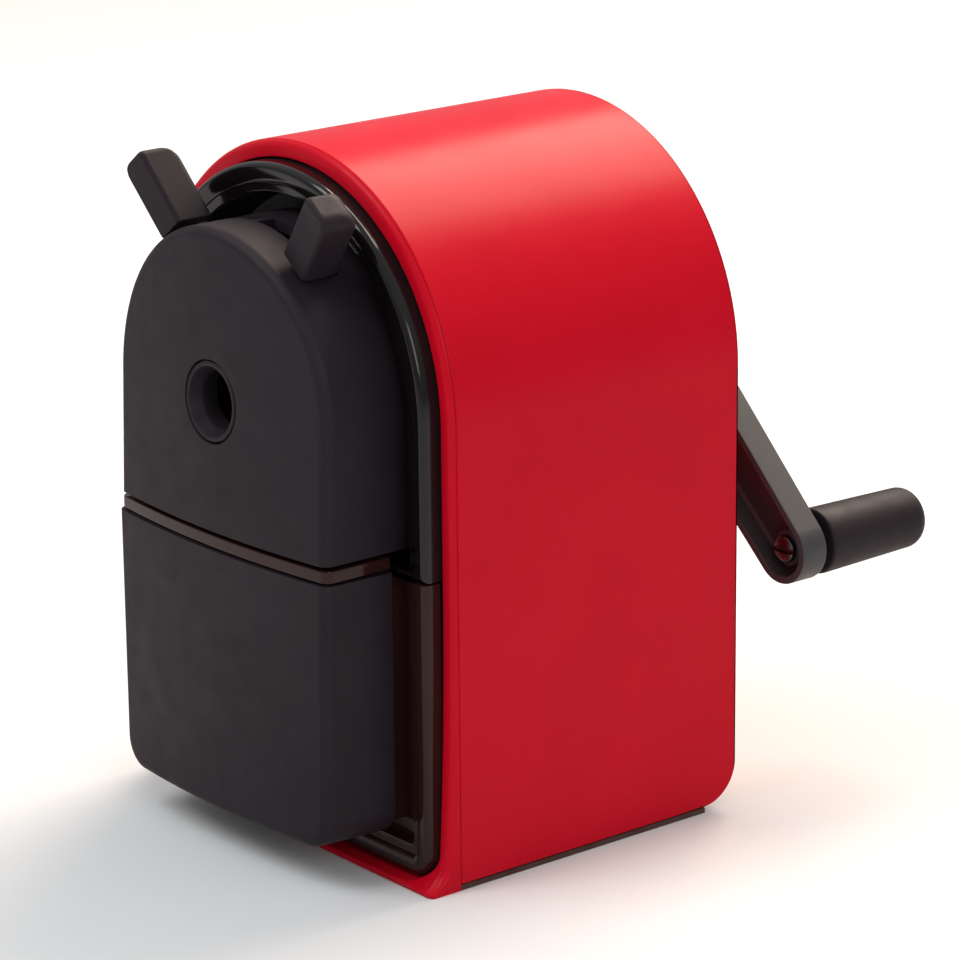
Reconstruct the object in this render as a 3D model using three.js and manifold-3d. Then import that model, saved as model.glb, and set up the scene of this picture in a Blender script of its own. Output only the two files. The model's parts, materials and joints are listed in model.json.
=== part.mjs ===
// Crank pencil sharpener: an arch-shaped body with a pencil-feed carriage, a shavings drawer and a crank.
// Millimetres, +Z up. The front faces -Y and the pencil axis runs along Y. The origin is on the underside
// of the base pad, at x = 0 and midway between the front and rear faces of the body.
import * as THREE from "three";
import { mergeVertices } from "three/addons/utils/BufferGeometryUtils.js";
import Module from "manifold-3d";

// ---------- driving dimensions ----------
const BODY_HEIGHT = 116;
const BODY_RADIUS = 39.7; // outside of the arch and half the width
const BODY_DEPTH = 60;
const AXIS_Z = BODY_HEIGHT - BODY_RADIUS; // pencil axis and centre of every arch
const FRONT = -BODY_DEPTH / 2; // front plane of the red frame
const REAR = BODY_DEPTH / 2;
const GAP = 0.3; // between fixed neighbours
const SHELL_WALL = 1.3;
const SEAM_Y = FRONT + 0.9; // front edge of the shell, a gap behind the flange of the front frame
const HEEL_RADIUS = 7; // rounded lower rear corner of the body
const RIM_INNER = 36.8; // opening in the front frame
const OPENING_CORNER = 4.6;
const COLLAR_REAR = FRONT + 6; // the frame plugs into the shell as far as this
const SILL_REACH = 5.4; // how far the lip stands in front of the frame
const SILL_THICKNESS = 1.1;
const SILL_SWEEP_TOP = 6.5; // below this the cheeks sweep out to the lip
const CHEEK_TOP = 50; // below this the frame leans forward a little
const CHEEK_LEAN = 1.2; // forward of the front plane at the top of the sweep
const PAD_THICKNESS = 0.9;
const PLATE_BOTTOM = 1.2;
const PLATE_TOP = 2.8;
const PAD_EAR = 35.2; // the pad reaches forward under the cheeks outside this
const PAD_EAR_FRONT = FRONT - 3;
const PAD_REAR = REAR - HEEL_RADIUS + 0.4;

const BOSS_RADIUS = 11; // bearing boss of the rear cover
const BOSS_REAR = 41.6;
const BUSH_RADIUS = 5;
const COVER_PLATE = 1.8;
const COVER_SCREWS = [
  [0, 27],
  [-27, -38],
  [27, -38],
]; // x and height above the pencil axis

const BEZEL_RADIUS = RIM_INNER - GAP;
const BEAD_INNER = 33.2;
const BEAD_STEP = 0.5;
const MOUTH_RADIUS = 31.6;
const BEZEL_FRONT = FRONT - 3.4;
const BEZEL_FLOOR = -24; // front of the floor of the recess
const FLOOR_WALL = 1.6;
const PARTING_Z = 51.4; // between the bezel and the drawer plate

const CARRIAGE_RADIUS = 28.1;
const CARRIAGE_FRONT = -47.6; // at the height of the pencil axis
const CARRIAGE_LEAN = 0.034; // the front runs back by this much per mm of height
const CARRIAGE_BOTTOM = 55;
const CARRIAGE_REAR = -27.4;
const CARRIAGE_WALL = 1.7;
const CARRIAGE_FRONT_WALL = 4;
const EDGE_ROUND = 1.7;
const CROWN_RADIUS = 200; // plan curvature of the carriage and drawer fronts
const RING_RADIUS = 6.6;
const RING_LIP = 0.8; // rim of the ring that rests on the front
const PENCIL_HOLE = 4.9; // radius of the hole in the ring

const COVER_HALF = 28.5; // half width at the front
const COVER_REAR_HALF = 28.9; // and where it meets the drawer plate
const COVER_FRONT = -48.7; // at the top
const COVER_LEAN = 0.008;
const COVER_BOTTOM = 7.2;
const COVER_TOP = 51.9;
const COVER_WALL = 1.5;
const DRAWER_BOTTOM = 1.5;
const DRAWER_REAR = 22.4;
const TRAY_WALL = 1.6;
const BIN_TOP = 48;
const BIN_HALF = 34.4;

const LEVER_ANGLE = 38; // handles lean this far from the vertical, in degrees
const LEVER_OFFSET = 2; // centre line of a handle passes this far from the pencil axis
const LEVER_WIDTH = 6.4;
const LEVER_START = 29.2;
const LEVER_END = 42.8;
const LEVER_FRONT = -42.8; // at the foot of the handle
const LEVER_LEAN = 0.112; // the handle comes forward by this much per mm of its length
const LEVER_DEPTH = 7.2;
const LEVER_PLATE_Y = [-37.6, -36.4];
const SLOT_Y = [-37.9, -34.7]; // slots in the arch for the lever plates
const SLOT_X = [0.8, 17.6];
const WING_X = 2.6; // inner end of the curved wing of a lever plate
const WING_RADIUS = 26.1;
const WING_WIDTH = 1.6;
const PIVOT_X = 5;
const PIVOT_RISE = 13.9; // above the pencil axis
const PIN_RADIUS = 1.2;
const JAW_OPEN = 1.5; // from the pencil axis to the tips of the jaw teeth
const JAW_REACH = 6.6;
const JAW_HALF_HEIGHT = 4;

const ROD_X = 23.3;
const ROD_Z = 70;
const ROD_RADIUS = 1.5;
const ROD_REAR = 26;
const ROD_HOLE = 3.5;
const MECHANISM_PLATE = [-22.1, -20.1]; // front and rear
const MECHANISM_RADIUS = 35.6;
const GUIDE_HOLE = 7; // holds the pencil guide
const GUIDE_REAR = -17.4;
const PENCIL_PASS = 4.4; // radius of the way through for the pencil

const CRANK_REACH = 50.6; // from the pencil axis to the knob
const CRANK_ANGLE = -43.5; // direction of the arm from +X towards +Z, degrees
const ARM_FRONT = 42.5;
const ARM_REAR = 48.2;
const ARM_WEB = 1.8;
const ARM_RIM = 1.3;
const HUB_RADIUS = 7;
const ARM_END_RADIUS = 5.9;
const SHAFT_RADIUS = 3;
const RUNNING_GAP = 0.2; // between a turning or sliding part and its bearing
const KNOB_RADIUS = 5.7;
const KNOB_FRONT = ARM_REAR + 1.7;
const KNOB_REAR = 73.2;
const AXLE_RADIUS = 1.8; // the knob turns on this
const AXLE_REAR = 68.6;

const RING_TEETH = 28;
const RING_GEAR_RADIUS = 15;
const RING_GEAR_Y = [9.2, 13.2];
const PINION_TEETH = 13;
const CUTTER_TILT = 10.5; // degrees between the cutter and the pencil axis
const MESH_Y = 11.2; // where the pinion meets the ring gear
const MESH_DISTANCE = 6; // between the two axes there
const CUTTER_SPAN = [-23, -4.6]; // along the cutter's own axis, from the mesh plane
const POST_RADIUS = 1.8; // posts that carry the ring gear
const POST_REACH = 19.5;
const POST_ANGLES = [90, 210, 330];
const SPRING_WIRE = 0.35;
const FEED_COIL = 2.5; // radius of a feed spring
const FEED_TURNS = 9;
const FEED_START = -18;
const GRIP_COIL = 1.9;
const GRIP_SPAN = 14;
const GRIP_RISE = 22.5; // above the pencil axis

const wasm = await Module();
wasm.setup();

// ---------- helpers ----------
const rad = THREE.MathUtils.degToRad;
const degrees = THREE.MathUtils.radToDeg;

function polar(radius, angle, x = 0, z = AXIS_Z) {
  return [x + radius * Math.cos(rad(angle)), z + radius * Math.sin(rad(angle))];
}

const [KNOB_X, KNOB_Z] = polar(CRANK_REACH, CRANK_ANGLE);
const POSTS = POST_ANGLES.map((angle) => polar(POST_REACH, angle));

function toSolid(geometry) {
  const bare = new THREE.BufferGeometry().setAttribute("position", geometry.getAttribute("position"));
  bare.setIndex(geometry.getIndex());
  const merged = mergeVertices(bare, 1e-4);
  const vertProperties = new Float32Array(merged.getAttribute("position").array);
  const triVerts = new Uint32Array(merged.getIndex().array);
  const solid = new wasm.Manifold(new wasm.Mesh({ numProp: 3, vertProperties, triVerts }));
  if (solid.volume() > 0) return solid;
  for (let i = 0; i < triVerts.length; i += 3) {
    [triVerts[i + 1], triVerts[i + 2]] = [triVerts[i + 2], triVerts[i + 1]];
  }
  return new wasm.Manifold(new wasm.Mesh({ numProp: 3, vertProperties, triVerts }));
}

function toGeometry(solid) {
  const mesh = solid.getMesh();
  const positions = new Float32Array(mesh.numVert * 3);
  for (let i = 0; i < mesh.numVert; i++) {
    positions.set(mesh.vertProperties.subarray(i * mesh.numProp, i * mesh.numProp + 3), i * 3);
  }
  const geometry = new THREE.BufferGeometry();
  geometry.setAttribute("position", new THREE.BufferAttribute(positions, 3));
  geometry.setIndex(new THREE.BufferAttribute(mesh.triVerts, 1));
  geometry.computeVertexNormals();
  return geometry;
}

function cut(solid, ...tools) {
  return tools.reduce((rest, tool) => rest.subtract(tool), solid);
}

function join(...solids) {
  return solids.reduce((whole, next) => whole.add(next));
}

function arc(cx, cy, radius, from, to, steps) {
  const points = [];
  for (let i = 0; i <= steps; i++) {
    const angle = rad(from + ((to - from) * i) / steps);
    points.push(new THREE.Vector2(cx + radius * Math.cos(angle), cy + radius * Math.sin(angle)));
  }
  return points;
}

function circle(cx, cy, radius, steps = 24) {
  return arc(cx, cy, radius, 0, 360, steps).slice(0, -1);
}

// An arch about the pencil axis with straight legs down to bottom, whose lower corners may be rounded.
function archOutline(radius, bottom, corner = 0, steps = 32) {
  const top = arc(0, AXIS_Z, radius, 0, 180, steps);
  if (!corner) return [...top, new THREE.Vector2(-radius, bottom), new THREE.Vector2(radius, bottom)];
  return [
    ...top,
    ...arc(-radius + corner, bottom + corner, corner, 180, 270, 5),
    ...arc(radius - corner, bottom + corner, corner, 270, 360, 5),
  ];
}

// A box outline whose lower corners are rounded.
function panelOutline(half, bottom, top, corner) {
  return [
    new THREE.Vector2(half, top),
    new THREE.Vector2(-half, top),
    ...arc(-half + corner, bottom + corner, corner, 180, 270, 5),
    ...arc(half - corner, bottom + corner, corner, 270, 360, 5),
  ];
}

// Outline round two circles joined by tangents.
function linkOutline(x0, z0, r0, x1, z1, r1, steps = 14) {
  const span = Math.hypot(x1 - x0, z1 - z0);
  const lean = degrees(Math.atan2(z1 - z0, x1 - x0));
  const wrap = degrees(Math.acos((r0 - r1) / span));
  return [
    ...arc(x0, z0, r0, lean + wrap, lean + 360 - wrap, steps),
    ...arc(x1, z1, r1, lean - wrap, lean + wrap, steps),
  ];
}

// An X-Z outline extruded along Y from y0 to y1.
function prismY(points, y0, y1, holes = [], bevel = {}) {
  const shape = new THREE.Shape(points);
  for (const hole of holes) shape.holes.push(new THREE.Path(hole));
  const options = { depth: y1 - y0, steps: 1, bevelEnabled: false, ...bevel };
  const geometry = new THREE.ExtrudeGeometry(shape, options);
  geometry.rotateX(Math.PI / 2);
  geometry.translate(0, y1, 0);
  return geometry;
}

function alongY(...details) {
  return toSolid(prismY(...details));
}

// A Y-Z outline extruded along X from x0 to x1.
function alongX(points, x0, x1) {
  const shape = new THREE.Shape(points);
  const geometry = new THREE.ExtrudeGeometry(shape, { depth: x1 - x0, bevelEnabled: false });
  const turn = new THREE.Matrix4().makeBasis(
    new THREE.Vector3(0, 1, 0),
    new THREE.Vector3(0, 0, 1),
    new THREE.Vector3(1, 0, 0),
  );
  geometry.applyMatrix4(turn);
  geometry.translate(x0, 0, 0);
  return toSolid(geometry);
}

// An X-Y outline extruded along Z from z0 to z1.
function prismZ(points, z0, z1) {
  const shape = new THREE.Shape(points);
  const geometry = new THREE.ExtrudeGeometry(shape, { depth: z1 - z0, bevelEnabled: false });
  geometry.translate(0, 0, z0);
  return geometry;
}

function alongZ(...details) {
  return toSolid(prismZ(...details));
}

// Moves every corner ahead of the frame along Y in proportion to its distance from a level line.
function leanFront(geometry, slope, distance) {
  const position = geometry.getAttribute("position");
  for (let i = 0; i < position.count; i++) {
    const [x, y, z] = [position.getX(i), position.getY(i), position.getZ(i)];
    if (y < FRONT) position.setY(i, y + slope * distance(x, z));
  }
  return toSolid(geometry);
}

function box(x0, x1, y0, y1, z0, z1) {
  const geometry = new THREE.BoxGeometry(x1 - x0, y1 - y0, z1 - z0);
  geometry.translate((x0 + x1) / 2, (y0 + y1) / 2, (z0 + z1) / 2);
  return toSolid(geometry);
}

function disc(x, z, radius, y0, y1, steps = 24) {
  return alongY(circle(x, z, radius, steps), y0, y1);
}

function tube(x, z, outer, inner, y0, y1, steps = 24) {
  return alongY(circle(x, z, outer, steps), y0, y1, [circle(x, z, inner, steps)]);
}

// Profile of [radius, y] pairs turned about a line along Y through x, z.
function turned(profile, x, z, steps = 28) {
  const geometry = new THREE.LatheGeometry(profile.map(([r, y]) => new THREE.Vector2(r, y)), steps);
  geometry.translate(x, 0, z);
  return toSolid(geometry);
}

// Outline of a toothed wheel about the origin, with trapezoid teeth; the first is centred on firstTooth.
function toothedOutline(teeth, root, tip, fill, firstTooth = 90) {
  const points = [];
  const pitch = 360 / teeth;
  for (let i = 0; i < teeth; i++) {
    const middle = firstTooth + i * pitch;
    for (const [radius, offset] of [
      [root, -fill * 0.36],
      [tip, -fill * 0.2],
      [tip, fill * 0.2],
      [root, fill * 0.36],
    ]) {
      const angle = rad(middle + offset * pitch);
      points.push(new THREE.Vector2(radius * Math.cos(angle), radius * Math.sin(angle)));
    }
  }
  return points;
}

class Coil extends THREE.Curve {
  constructor(radius, length, turns) {
    super();
    Object.assign(this, { radius, length, turns });
  }
  getPoint(t, target = new THREE.Vector3()) {
    const angle = 2 * Math.PI * this.turns * t;
    return target.set(this.radius * Math.cos(angle), this.length * t, this.radius * Math.sin(angle));
  }
}

function coilSpring(radius, length, turns, wire, stepsPerTurn = 10) {
  const section = new THREE.Shape(circle(0, 0, wire, 5));
  const options = {
    steps: turns * stepsPerTurn,
    bevelEnabled: false,
    extrudePath: new Coil(radius, length, turns),
  };
  return new THREE.ExtrudeGeometry(section, options);
}

// ---------- materials ----------
function material(color, roughness, metalness = 0, opacity = 1) {
  return new THREE.MeshStandardMaterial({ color, roughness, metalness, opacity, transparent: opacity < 1 });
}
const RED = material(0xb8141f, 0.35);
const GLOSS_BLACK = material(0x0d0b0d, 0.15);
const MATTE_BLACK = material(0x2a2629, 0.6);
const ARM_GREY = material(0x3c3a3c, 0.5);
const SMOKE = material(0x2b1d1b, 0.15, 0, 0.8);
const PAD = material(0x3a2420, 0.9);
const STEEL = material(0xb8b8b4, 0.3, 1);
const DARK_STEEL = material(0x4a4a4c, 0.4, 1);
const BRASS = material(0xb08a45, 0.35, 1);
const NYLON = material(0xd8d4c8, 0.5);

const sharpener = new THREE.Group();

function addGeometry(parent, name, geometry, finish) {
  const mesh = new THREE.Mesh(geometry, finish);
  mesh.name = name;
  parent.add(mesh);
  return mesh;
}

function addSolid(parent, name, solid, finish) {
  return addGeometry(parent, name, toGeometry(solid), finish);
}

// ---------- housing ----------
// The shell seen from the side, with its rounded heel, drawn in from the outside by inset.
function sideProfile(inset) {
  const rear = REAR - inset;
  const bottom = PLATE_BOTTOM + inset;
  const radius = HEEL_RADIUS - inset;
  const centreY = REAR - HEEL_RADIUS;
  const centreZ = PLATE_BOTTOM + HEEL_RADIUS;
  return [
    new THREE.Vector2(FRONT - 3, bottom),
    ...arc(centreY, centreZ, radius, 270, 360, 6),
    new THREE.Vector2(rear, BODY_HEIGHT + 1),
    new THREE.Vector2(FRONT - 3, BODY_HEIGHT + 1),
  ];
}

function housingShell() {
  const outer = archOutline(BODY_RADIUS, PLATE_BOTTOM);
  const inner = archOutline(BODY_RADIUS - SHELL_WALL, 0);
  const arch = cut(alongY(outer, SEAM_Y, REAR), alongY(inner, SEAM_Y - 1, REAR + 1));
  return arch.intersect(alongX(sideProfile(0), -BODY_RADIUS - 1, BODY_RADIUS + 1));
}

// The front edge of the frame seen from the side, from the top of the cheek down to the lip.
function cheekLine() {
  const lean = [];
  for (let i = 0; i < 6; i++) {
    const part = i / 6;
    const z = CHEEK_TOP + (SILL_SWEEP_TOP - CHEEK_TOP) * part;
    lean.push(new THREE.Vector2(FRONT - CHEEK_LEAN * part * part, z));
  }
  const reach = SILL_REACH - CHEEK_LEAN;
  const drop = SILL_SWEEP_TOP - SILL_THICKNESS;
  const sweep = [0, 12, 24, 36, 48, 60, 72, 90].map((angle) => {
    const ahead = reach * (1 - Math.cos(rad(angle)));
    return new THREE.Vector2(FRONT - CHEEK_LEAN - ahead, SILL_SWEEP_TOP - drop * Math.sin(rad(angle)));
  });
  return [...lean, ...sweep];
}

function frontFrame() {
  const opening = alongY(archOutline(RIM_INNER, DRAWER_BOTTOM - GAP, OPENING_CORNER), FRONT - 10, REAR);
  const flange = alongY(archOutline(BODY_RADIUS, 0), FRONT, SEAM_Y - GAP);
  const side = [
    new THREE.Vector2(SEAM_Y - GAP, 0),
    new THREE.Vector2(SEAM_Y - GAP, CHEEK_TOP),
    ...cheekLine(),
    new THREE.Vector2(FRONT - SILL_REACH, 0),
  ];
  const cheeks = alongX(side, -BODY_RADIUS, BODY_RADIUS);
  const collar = alongY(archOutline(BODY_RADIUS - SHELL_WALL - GAP, PLATE_TOP + GAP), FRONT, COLLAR_REAR);
  const body = cut(join(flange, cheeks, collar), opening);
  const [earIn, earOut] = [PAD_EAR - GAP, BODY_RADIUS + 1];
  const ears = [[-earOut, -earIn], [earIn, earOut]].map(([x0, x1]) => {
    return box(x0, x1, PAD_EAR_FRONT - GAP, REAR, -1, PLATE_BOTTOM);
  });
  return cut(body, ...ears);
}

function basePad() {
  const half = BODY_RADIUS - 0.2;
  const outline = [
    [-half, PAD_EAR_FRONT],
    [-PAD_EAR, PAD_EAR_FRONT],
    [-PAD_EAR, SEAM_Y],
    [PAD_EAR, SEAM_Y],
    [PAD_EAR, PAD_EAR_FRONT],
    [half, PAD_EAR_FRONT],
    [half, PAD_REAR],
    [-half, PAD_REAR],
  ].map(([x, y]) => new THREE.Vector2(x, y));
  return alongZ(outline, 0, PAD_THICKNESS);
}

function basePlate() {
  const half = BODY_RADIUS - SHELL_WALL - GAP;
  const plate = box(-half, half, SEAM_Y + GAP, REAR - HEEL_RADIUS - 0.5, PLATE_BOTTOM, PLATE_TOP);
  const rails = [-1, 1].map((s) => {
    const x = s * (BIN_HALF + 1.4);
    return box(x - 0.7, x + 0.7, FRONT + 7, REAR - HEEL_RADIUS - 2, PLATE_TOP - 0.2, PLATE_TOP + 5);
  });
  return join(plate, ...rails);
}

function rearCover() {
  const inset = 0.4;
  const outer = alongX(sideProfile(inset), -BODY_RADIUS, BODY_RADIUS);
  const inner = alongX(sideProfile(inset + COVER_PLATE), -BODY_RADIUS - 1, BODY_RADIUS + 1);
  const ahead = box(-50, 50, -60, REAR - HEEL_RADIUS, -1, BODY_HEIGHT + 2);
  const arch = alongY(archOutline(BODY_RADIUS - SHELL_WALL - GAP, 0), 0, REAR);
  const plate = cut(outer, inner, ahead).intersect(arch);
  const boss = turned(
    [
      [0, REAR - 2],
      [BOSS_RADIUS + 1.5, REAR - 2],
      [BOSS_RADIUS + 1, REAR + 1],
      [BOSS_RADIUS - 1, BOSS_REAR - 1],
      [BOSS_RADIUS - 2, BOSS_REAR],
      [0, BOSS_REAR],
    ],
    0,
    AXIS_Z,
  );
  const bore = disc(0, AXIS_Z, BUSH_RADIUS + GAP, 0, BOSS_REAR + 1);
  const holes = COVER_SCREWS.map(([x, rise]) => disc(x, AXIS_Z + rise, 1.9, 20, REAR + 1, 16));
  return cut(join(plate, boss), bore, ...holes);
}

function crossHeadScrew(x, z, headFront, headRear, shankFront, headRadius, shankRadius) {
  const head = disc(x, z, headRadius, headFront, headRear, 20);
  const shank = disc(x, z, shankRadius, shankFront, headFront + 0.1, 14);
  const slots = [0, 1].map((turn) => {
    const [a, b] = turn ? [0.35, headRadius * 0.65] : [headRadius * 0.65, 0.35];
    return box(x - a, x + a, headRear - 0.7, headRear + 1, z - b, z + b);
  });
  return cut(join(head, shank), ...slots);
}

function mechanismPlate() {
  const outline = archOutline(MECHANISM_RADIUS, PARTING_Z + 2.8, 0, 24);
  const holes = [
    circle(0, AXIS_Z, GUIDE_HOLE, 20),
    circle(-ROD_X, ROD_Z, ROD_HOLE, 16),
    circle(ROD_X, ROD_Z, ROD_HOLE, 16),
    ...POSTS.map(([x, z]) => circle(x, z, POST_RADIUS + GAP, 12)),
  ];
  return alongY(outline, ...MECHANISM_PLATE, holes);
}

function ringGear() {
  const rim = disc(0, AXIS_Z, RING_GEAR_RADIUS, ...RING_GEAR_Y, 32);
  const ears = POST_ANGLES.map((a) => {
    const reach = linkOutline(...polar(12, a), 3.2, ...polar(POST_REACH - 1.2, a), 3.1, 6);
    return alongY(reach, ...RING_GEAR_Y);
  });
  // The gaps of the ring are a toothed outline too: one gap faces +Z, where the pinion's tooth lies.
  const bore = toothedOutline(RING_TEETH, 10.95, 12.2, 1.36).map((p) => new THREE.Vector2(p.x, p.y + AXIS_Z));
  const posts = POSTS.map(([x, z]) => disc(x, z, POST_RADIUS + GAP, 0, 20, 12));
  return cut(join(rim, ...ears), alongY(bore, 0, 20), ...posts);
}

function frontBezel() {
  const ring = alongY(archOutline(BEZEL_RADIUS, PARTING_Z + 0.2, 0.8), BEZEL_FRONT, BEZEL_FLOOR + FLOOR_WALL);
  const step = alongY(archOutline(BEAD_INNER, PARTING_Z - 5), BEZEL_FRONT - 1, BEZEL_FRONT + BEAD_STEP);
  const recess = alongY(archOutline(MOUTH_RADIUS, PARTING_Z + 1.6), BEZEL_FRONT - 1, BEZEL_FLOOR);
  const holes = [
    disc(0, AXIS_Z, GUIDE_HOLE, -40, 0, 20),
    disc(-ROD_X, ROD_Z, ROD_HOLE, -40, 0, 16),
    disc(ROD_X, ROD_Z, ROD_HOLE, -40, 0, 16),
  ];
  return cut(ring, step, recess, ...holes);
}

function crankBush() {
  const sleeve = disc(0, AXIS_Z, BUSH_RADIUS, REAR - 4, BOSS_REAR);
  const collar = disc(0, AXIS_Z, BUSH_RADIUS + 2, REAR - 5.4, REAR - 3.4);
  return cut(join(sleeve, collar), disc(0, AXIS_Z, SHAFT_RADIUS + RUNNING_GAP / 2, 0, 50));
}

// Sits in the floor of the recess and leads the pencil to the cutter.
function pencilGuide() {
  const sleeve = disc(0, AXIS_Z, GUIDE_HOLE - 0.4, BEZEL_FLOOR - 0.4, GUIDE_REAR);
  const collar = disc(0, AXIS_Z, GUIDE_HOLE + 2, GUIDE_REAR - 2.4, GUIDE_REAR - 0.8);
  const funnel = [
    [0, BEZEL_FLOOR - 1],
    [PENCIL_PASS + 1.6, BEZEL_FLOOR - 1],
    [PENCIL_PASS, BEZEL_FLOOR + 2],
    [PENCIL_PASS, GUIDE_REAR + 0.4],
    [0, GUIDE_REAR + 0.4],
  ];
  return cut(join(sleeve, collar), turned(funnel, 0, AXIS_Z, 20));
}

function rodBush(x) {
  const sleeve = disc(x, ROD_Z, ROD_HOLE - GAP, BEZEL_FLOOR - 1.4, MECHANISM_PLATE[1] + 1.3, 16);
  const collar = disc(x, ROD_Z, ROD_HOLE + 0.9, MECHANISM_PLATE[1] + GAP, MECHANISM_PLATE[1] + 1.5, 16);
  return cut(join(sleeve, collar), disc(x, ROD_Z, ROD_RADIUS + RUNNING_GAP, -40, 0, 16));
}

function addHousing() {
  const housing = new THREE.Group();
  addSolid(housing, "housing_shell", housingShell(), RED);
  addSolid(housing, "front_frame", frontFrame(), RED);
  addSolid(housing, "front_bezel", frontBezel(), GLOSS_BLACK);
  addSolid(housing, "base_pad", basePad(), PAD);
  addSolid(housing, "base_plate", basePlate(), MATTE_BLACK);
  addSolid(housing, "rear_cover", rearCover(), RED);
  COVER_SCREWS.forEach(([x, rise], i) => {
    const screw = crossHeadScrew(x, AXIS_Z + rise, REAR - 0.1, REAR + 1.4, REAR - 6, 3.1, 1.5);
    addSolid(housing, `rear_cover_screw_${i + 1}`, screw, DARK_STEEL);
  });
  addSolid(housing, "crank_bush", crankBush(), BRASS);
  addSolid(housing, "mechanism_plate", mechanismPlate(), STEEL);
  addSolid(housing, "ring_gear", ringGear(), STEEL);
  POSTS.forEach(([x, z], i) => {
    const post = disc(x, z, POST_RADIUS, MECHANISM_PLATE[0], MESH_Y + 3, 12);
    addSolid(housing, `gear_post_${i + 1}`, post, STEEL);
  });
  addSolid(housing, "pencil_guide", pencilGuide(), NYLON);
  for (const [side, x] of [["left", -ROD_X], ["right", ROD_X]]) {
    addSolid(housing, `rod_bush_${side}`, rodBush(x), NYLON);
    const coil = coilSpring(FEED_COIL, ROD_REAR - 1.8 - FEED_START, FEED_TURNS, SPRING_WIRE);
    const spring = addGeometry(housing, `feed_spring_${side}`, coil, STEEL);
    spring.position.set(x, FEED_START, ROD_Z);
  }
  return housing;
}

// ---------- carriage ----------
// Plan of a crowned front with rounded corners; the sides run from half at the front to rearHalf.
function crownedPlan(front, half, rear, rearHalf = half) {
  const sag = (x) => CROWN_RADIUS - Math.sqrt(CROWN_RADIUS ** 2 - x * x);
  const shoulder = half - EDGE_ROUND;
  const crown = [];
  const steps = 8;
  for (let i = 0; i <= steps; i++) {
    const x = -shoulder + (2 * shoulder * i) / steps;
    crown.push(new THREE.Vector2(x, front + sag(x)));
  }
  const corner = front + sag(shoulder) + EDGE_ROUND;
  return [
    ...crown,
    ...arc(shoulder, corner, EDGE_ROUND, -75, 0, 4),
    new THREE.Vector2(rearHalf, rear),
    new THREE.Vector2(-rearHalf, rear),
    ...arc(-shoulder, corner, EDGE_ROUND, 180, 255, 4),
  ];
}

function leverSlots() {
  const [inner, outer] = SLOT_X;
  return [
    box(inner, outer, ...SLOT_Y, AXIS_Z + PIVOT_RISE, BODY_HEIGHT),
    box(-outer, -inner, ...SLOT_Y, AXIS_Z + PIVOT_RISE, BODY_HEIGHT),
  ];
}

function carriageShell() {
  const bevel = { bevelEnabled: true, bevelThickness: EDGE_ROUND, bevelSize: EDGE_ROUND, bevelSegments: 3 };
  const aboveAxis = (x, z) => z - AXIS_Z;
  const core = archOutline(CARRIAGE_RADIUS - EDGE_ROUND, CARRIAGE_BOTTOM + EDGE_ROUND - 5);
  const arch = leanFront(prismY(core, CARRIAGE_FRONT + EDGE_ROUND, 0, [], bevel), CARRIAGE_LEAN, aboveAxis);
  const outline = crownedPlan(CARRIAGE_FRONT, CARRIAGE_RADIUS, CARRIAGE_REAR);
  const plan = leanFront(prismZ(outline, CARRIAGE_BOTTOM, BODY_HEIGHT), CARRIAGE_LEAN, aboveAxis);
  const inner = archOutline(CARRIAGE_RADIUS - CARRIAGE_WALL, CARRIAGE_BOTTOM + CARRIAGE_WALL);
  const hollow = alongY(inner, CARRIAGE_FRONT + CARRIAGE_FRONT_WALL, 0);
  const ringSeat = disc(0, AXIS_Z, RING_RADIUS - RING_LIP, -60, -40, 32);
  const ringRecess = disc(0, AXIS_Z, RING_RADIUS + 0.25, -60, CARRIAGE_FRONT + 1.2, 32);
  return cut(arch.intersect(plan), hollow, ringSeat, ringRecess, ...leverSlots());
}

function pencilRing() {
  const seat = RING_RADIUS - RING_LIP - GAP;
  return turned(
    [
      [PENCIL_HOLE, CARRIAGE_FRONT + 1.4],
      [PENCIL_HOLE + 0.9, CARRIAGE_FRONT + 0.1],
      [RING_RADIUS - 0.4, CARRIAGE_FRONT + 0.1],
      [RING_RADIUS, CARRIAGE_FRONT + 0.5],
      [RING_RADIUS, CARRIAGE_FRONT + 0.9],
      [seat, CARRIAGE_FRONT + 0.9],
      [seat, CARRIAGE_FRONT + 5],
      [PENCIL_HOLE, CARRIAGE_FRONT + 5],
      [PENCIL_HOLE, CARRIAGE_FRONT + 1.4],
    ],
    0,
    AXIS_Z,
    32,
  );
}

function carriageBack() {
  const outline = archOutline(
    CARRIAGE_RADIUS - CARRIAGE_WALL - GAP,
    CARRIAGE_BOTTOM + CARRIAGE_WALL + GAP,
    0,
    24,
  );
  const holes = [
    circle(0, AXIS_Z, 5, 20),
    circle(-ROD_X, ROD_Z, ROD_RADIUS + GAP, 12),
    circle(ROD_X, ROD_Z, ROD_RADIUS + GAP, 12),
    ...[-1, 1].map((s) => circle(s * PIVOT_X, AXIS_Z + PIVOT_RISE, PIN_RADIUS + GAP, 12)),
  ];
  return alongY(outline, CARRIAGE_REAR - 2, CARRIAGE_REAR, holes);
}

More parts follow.
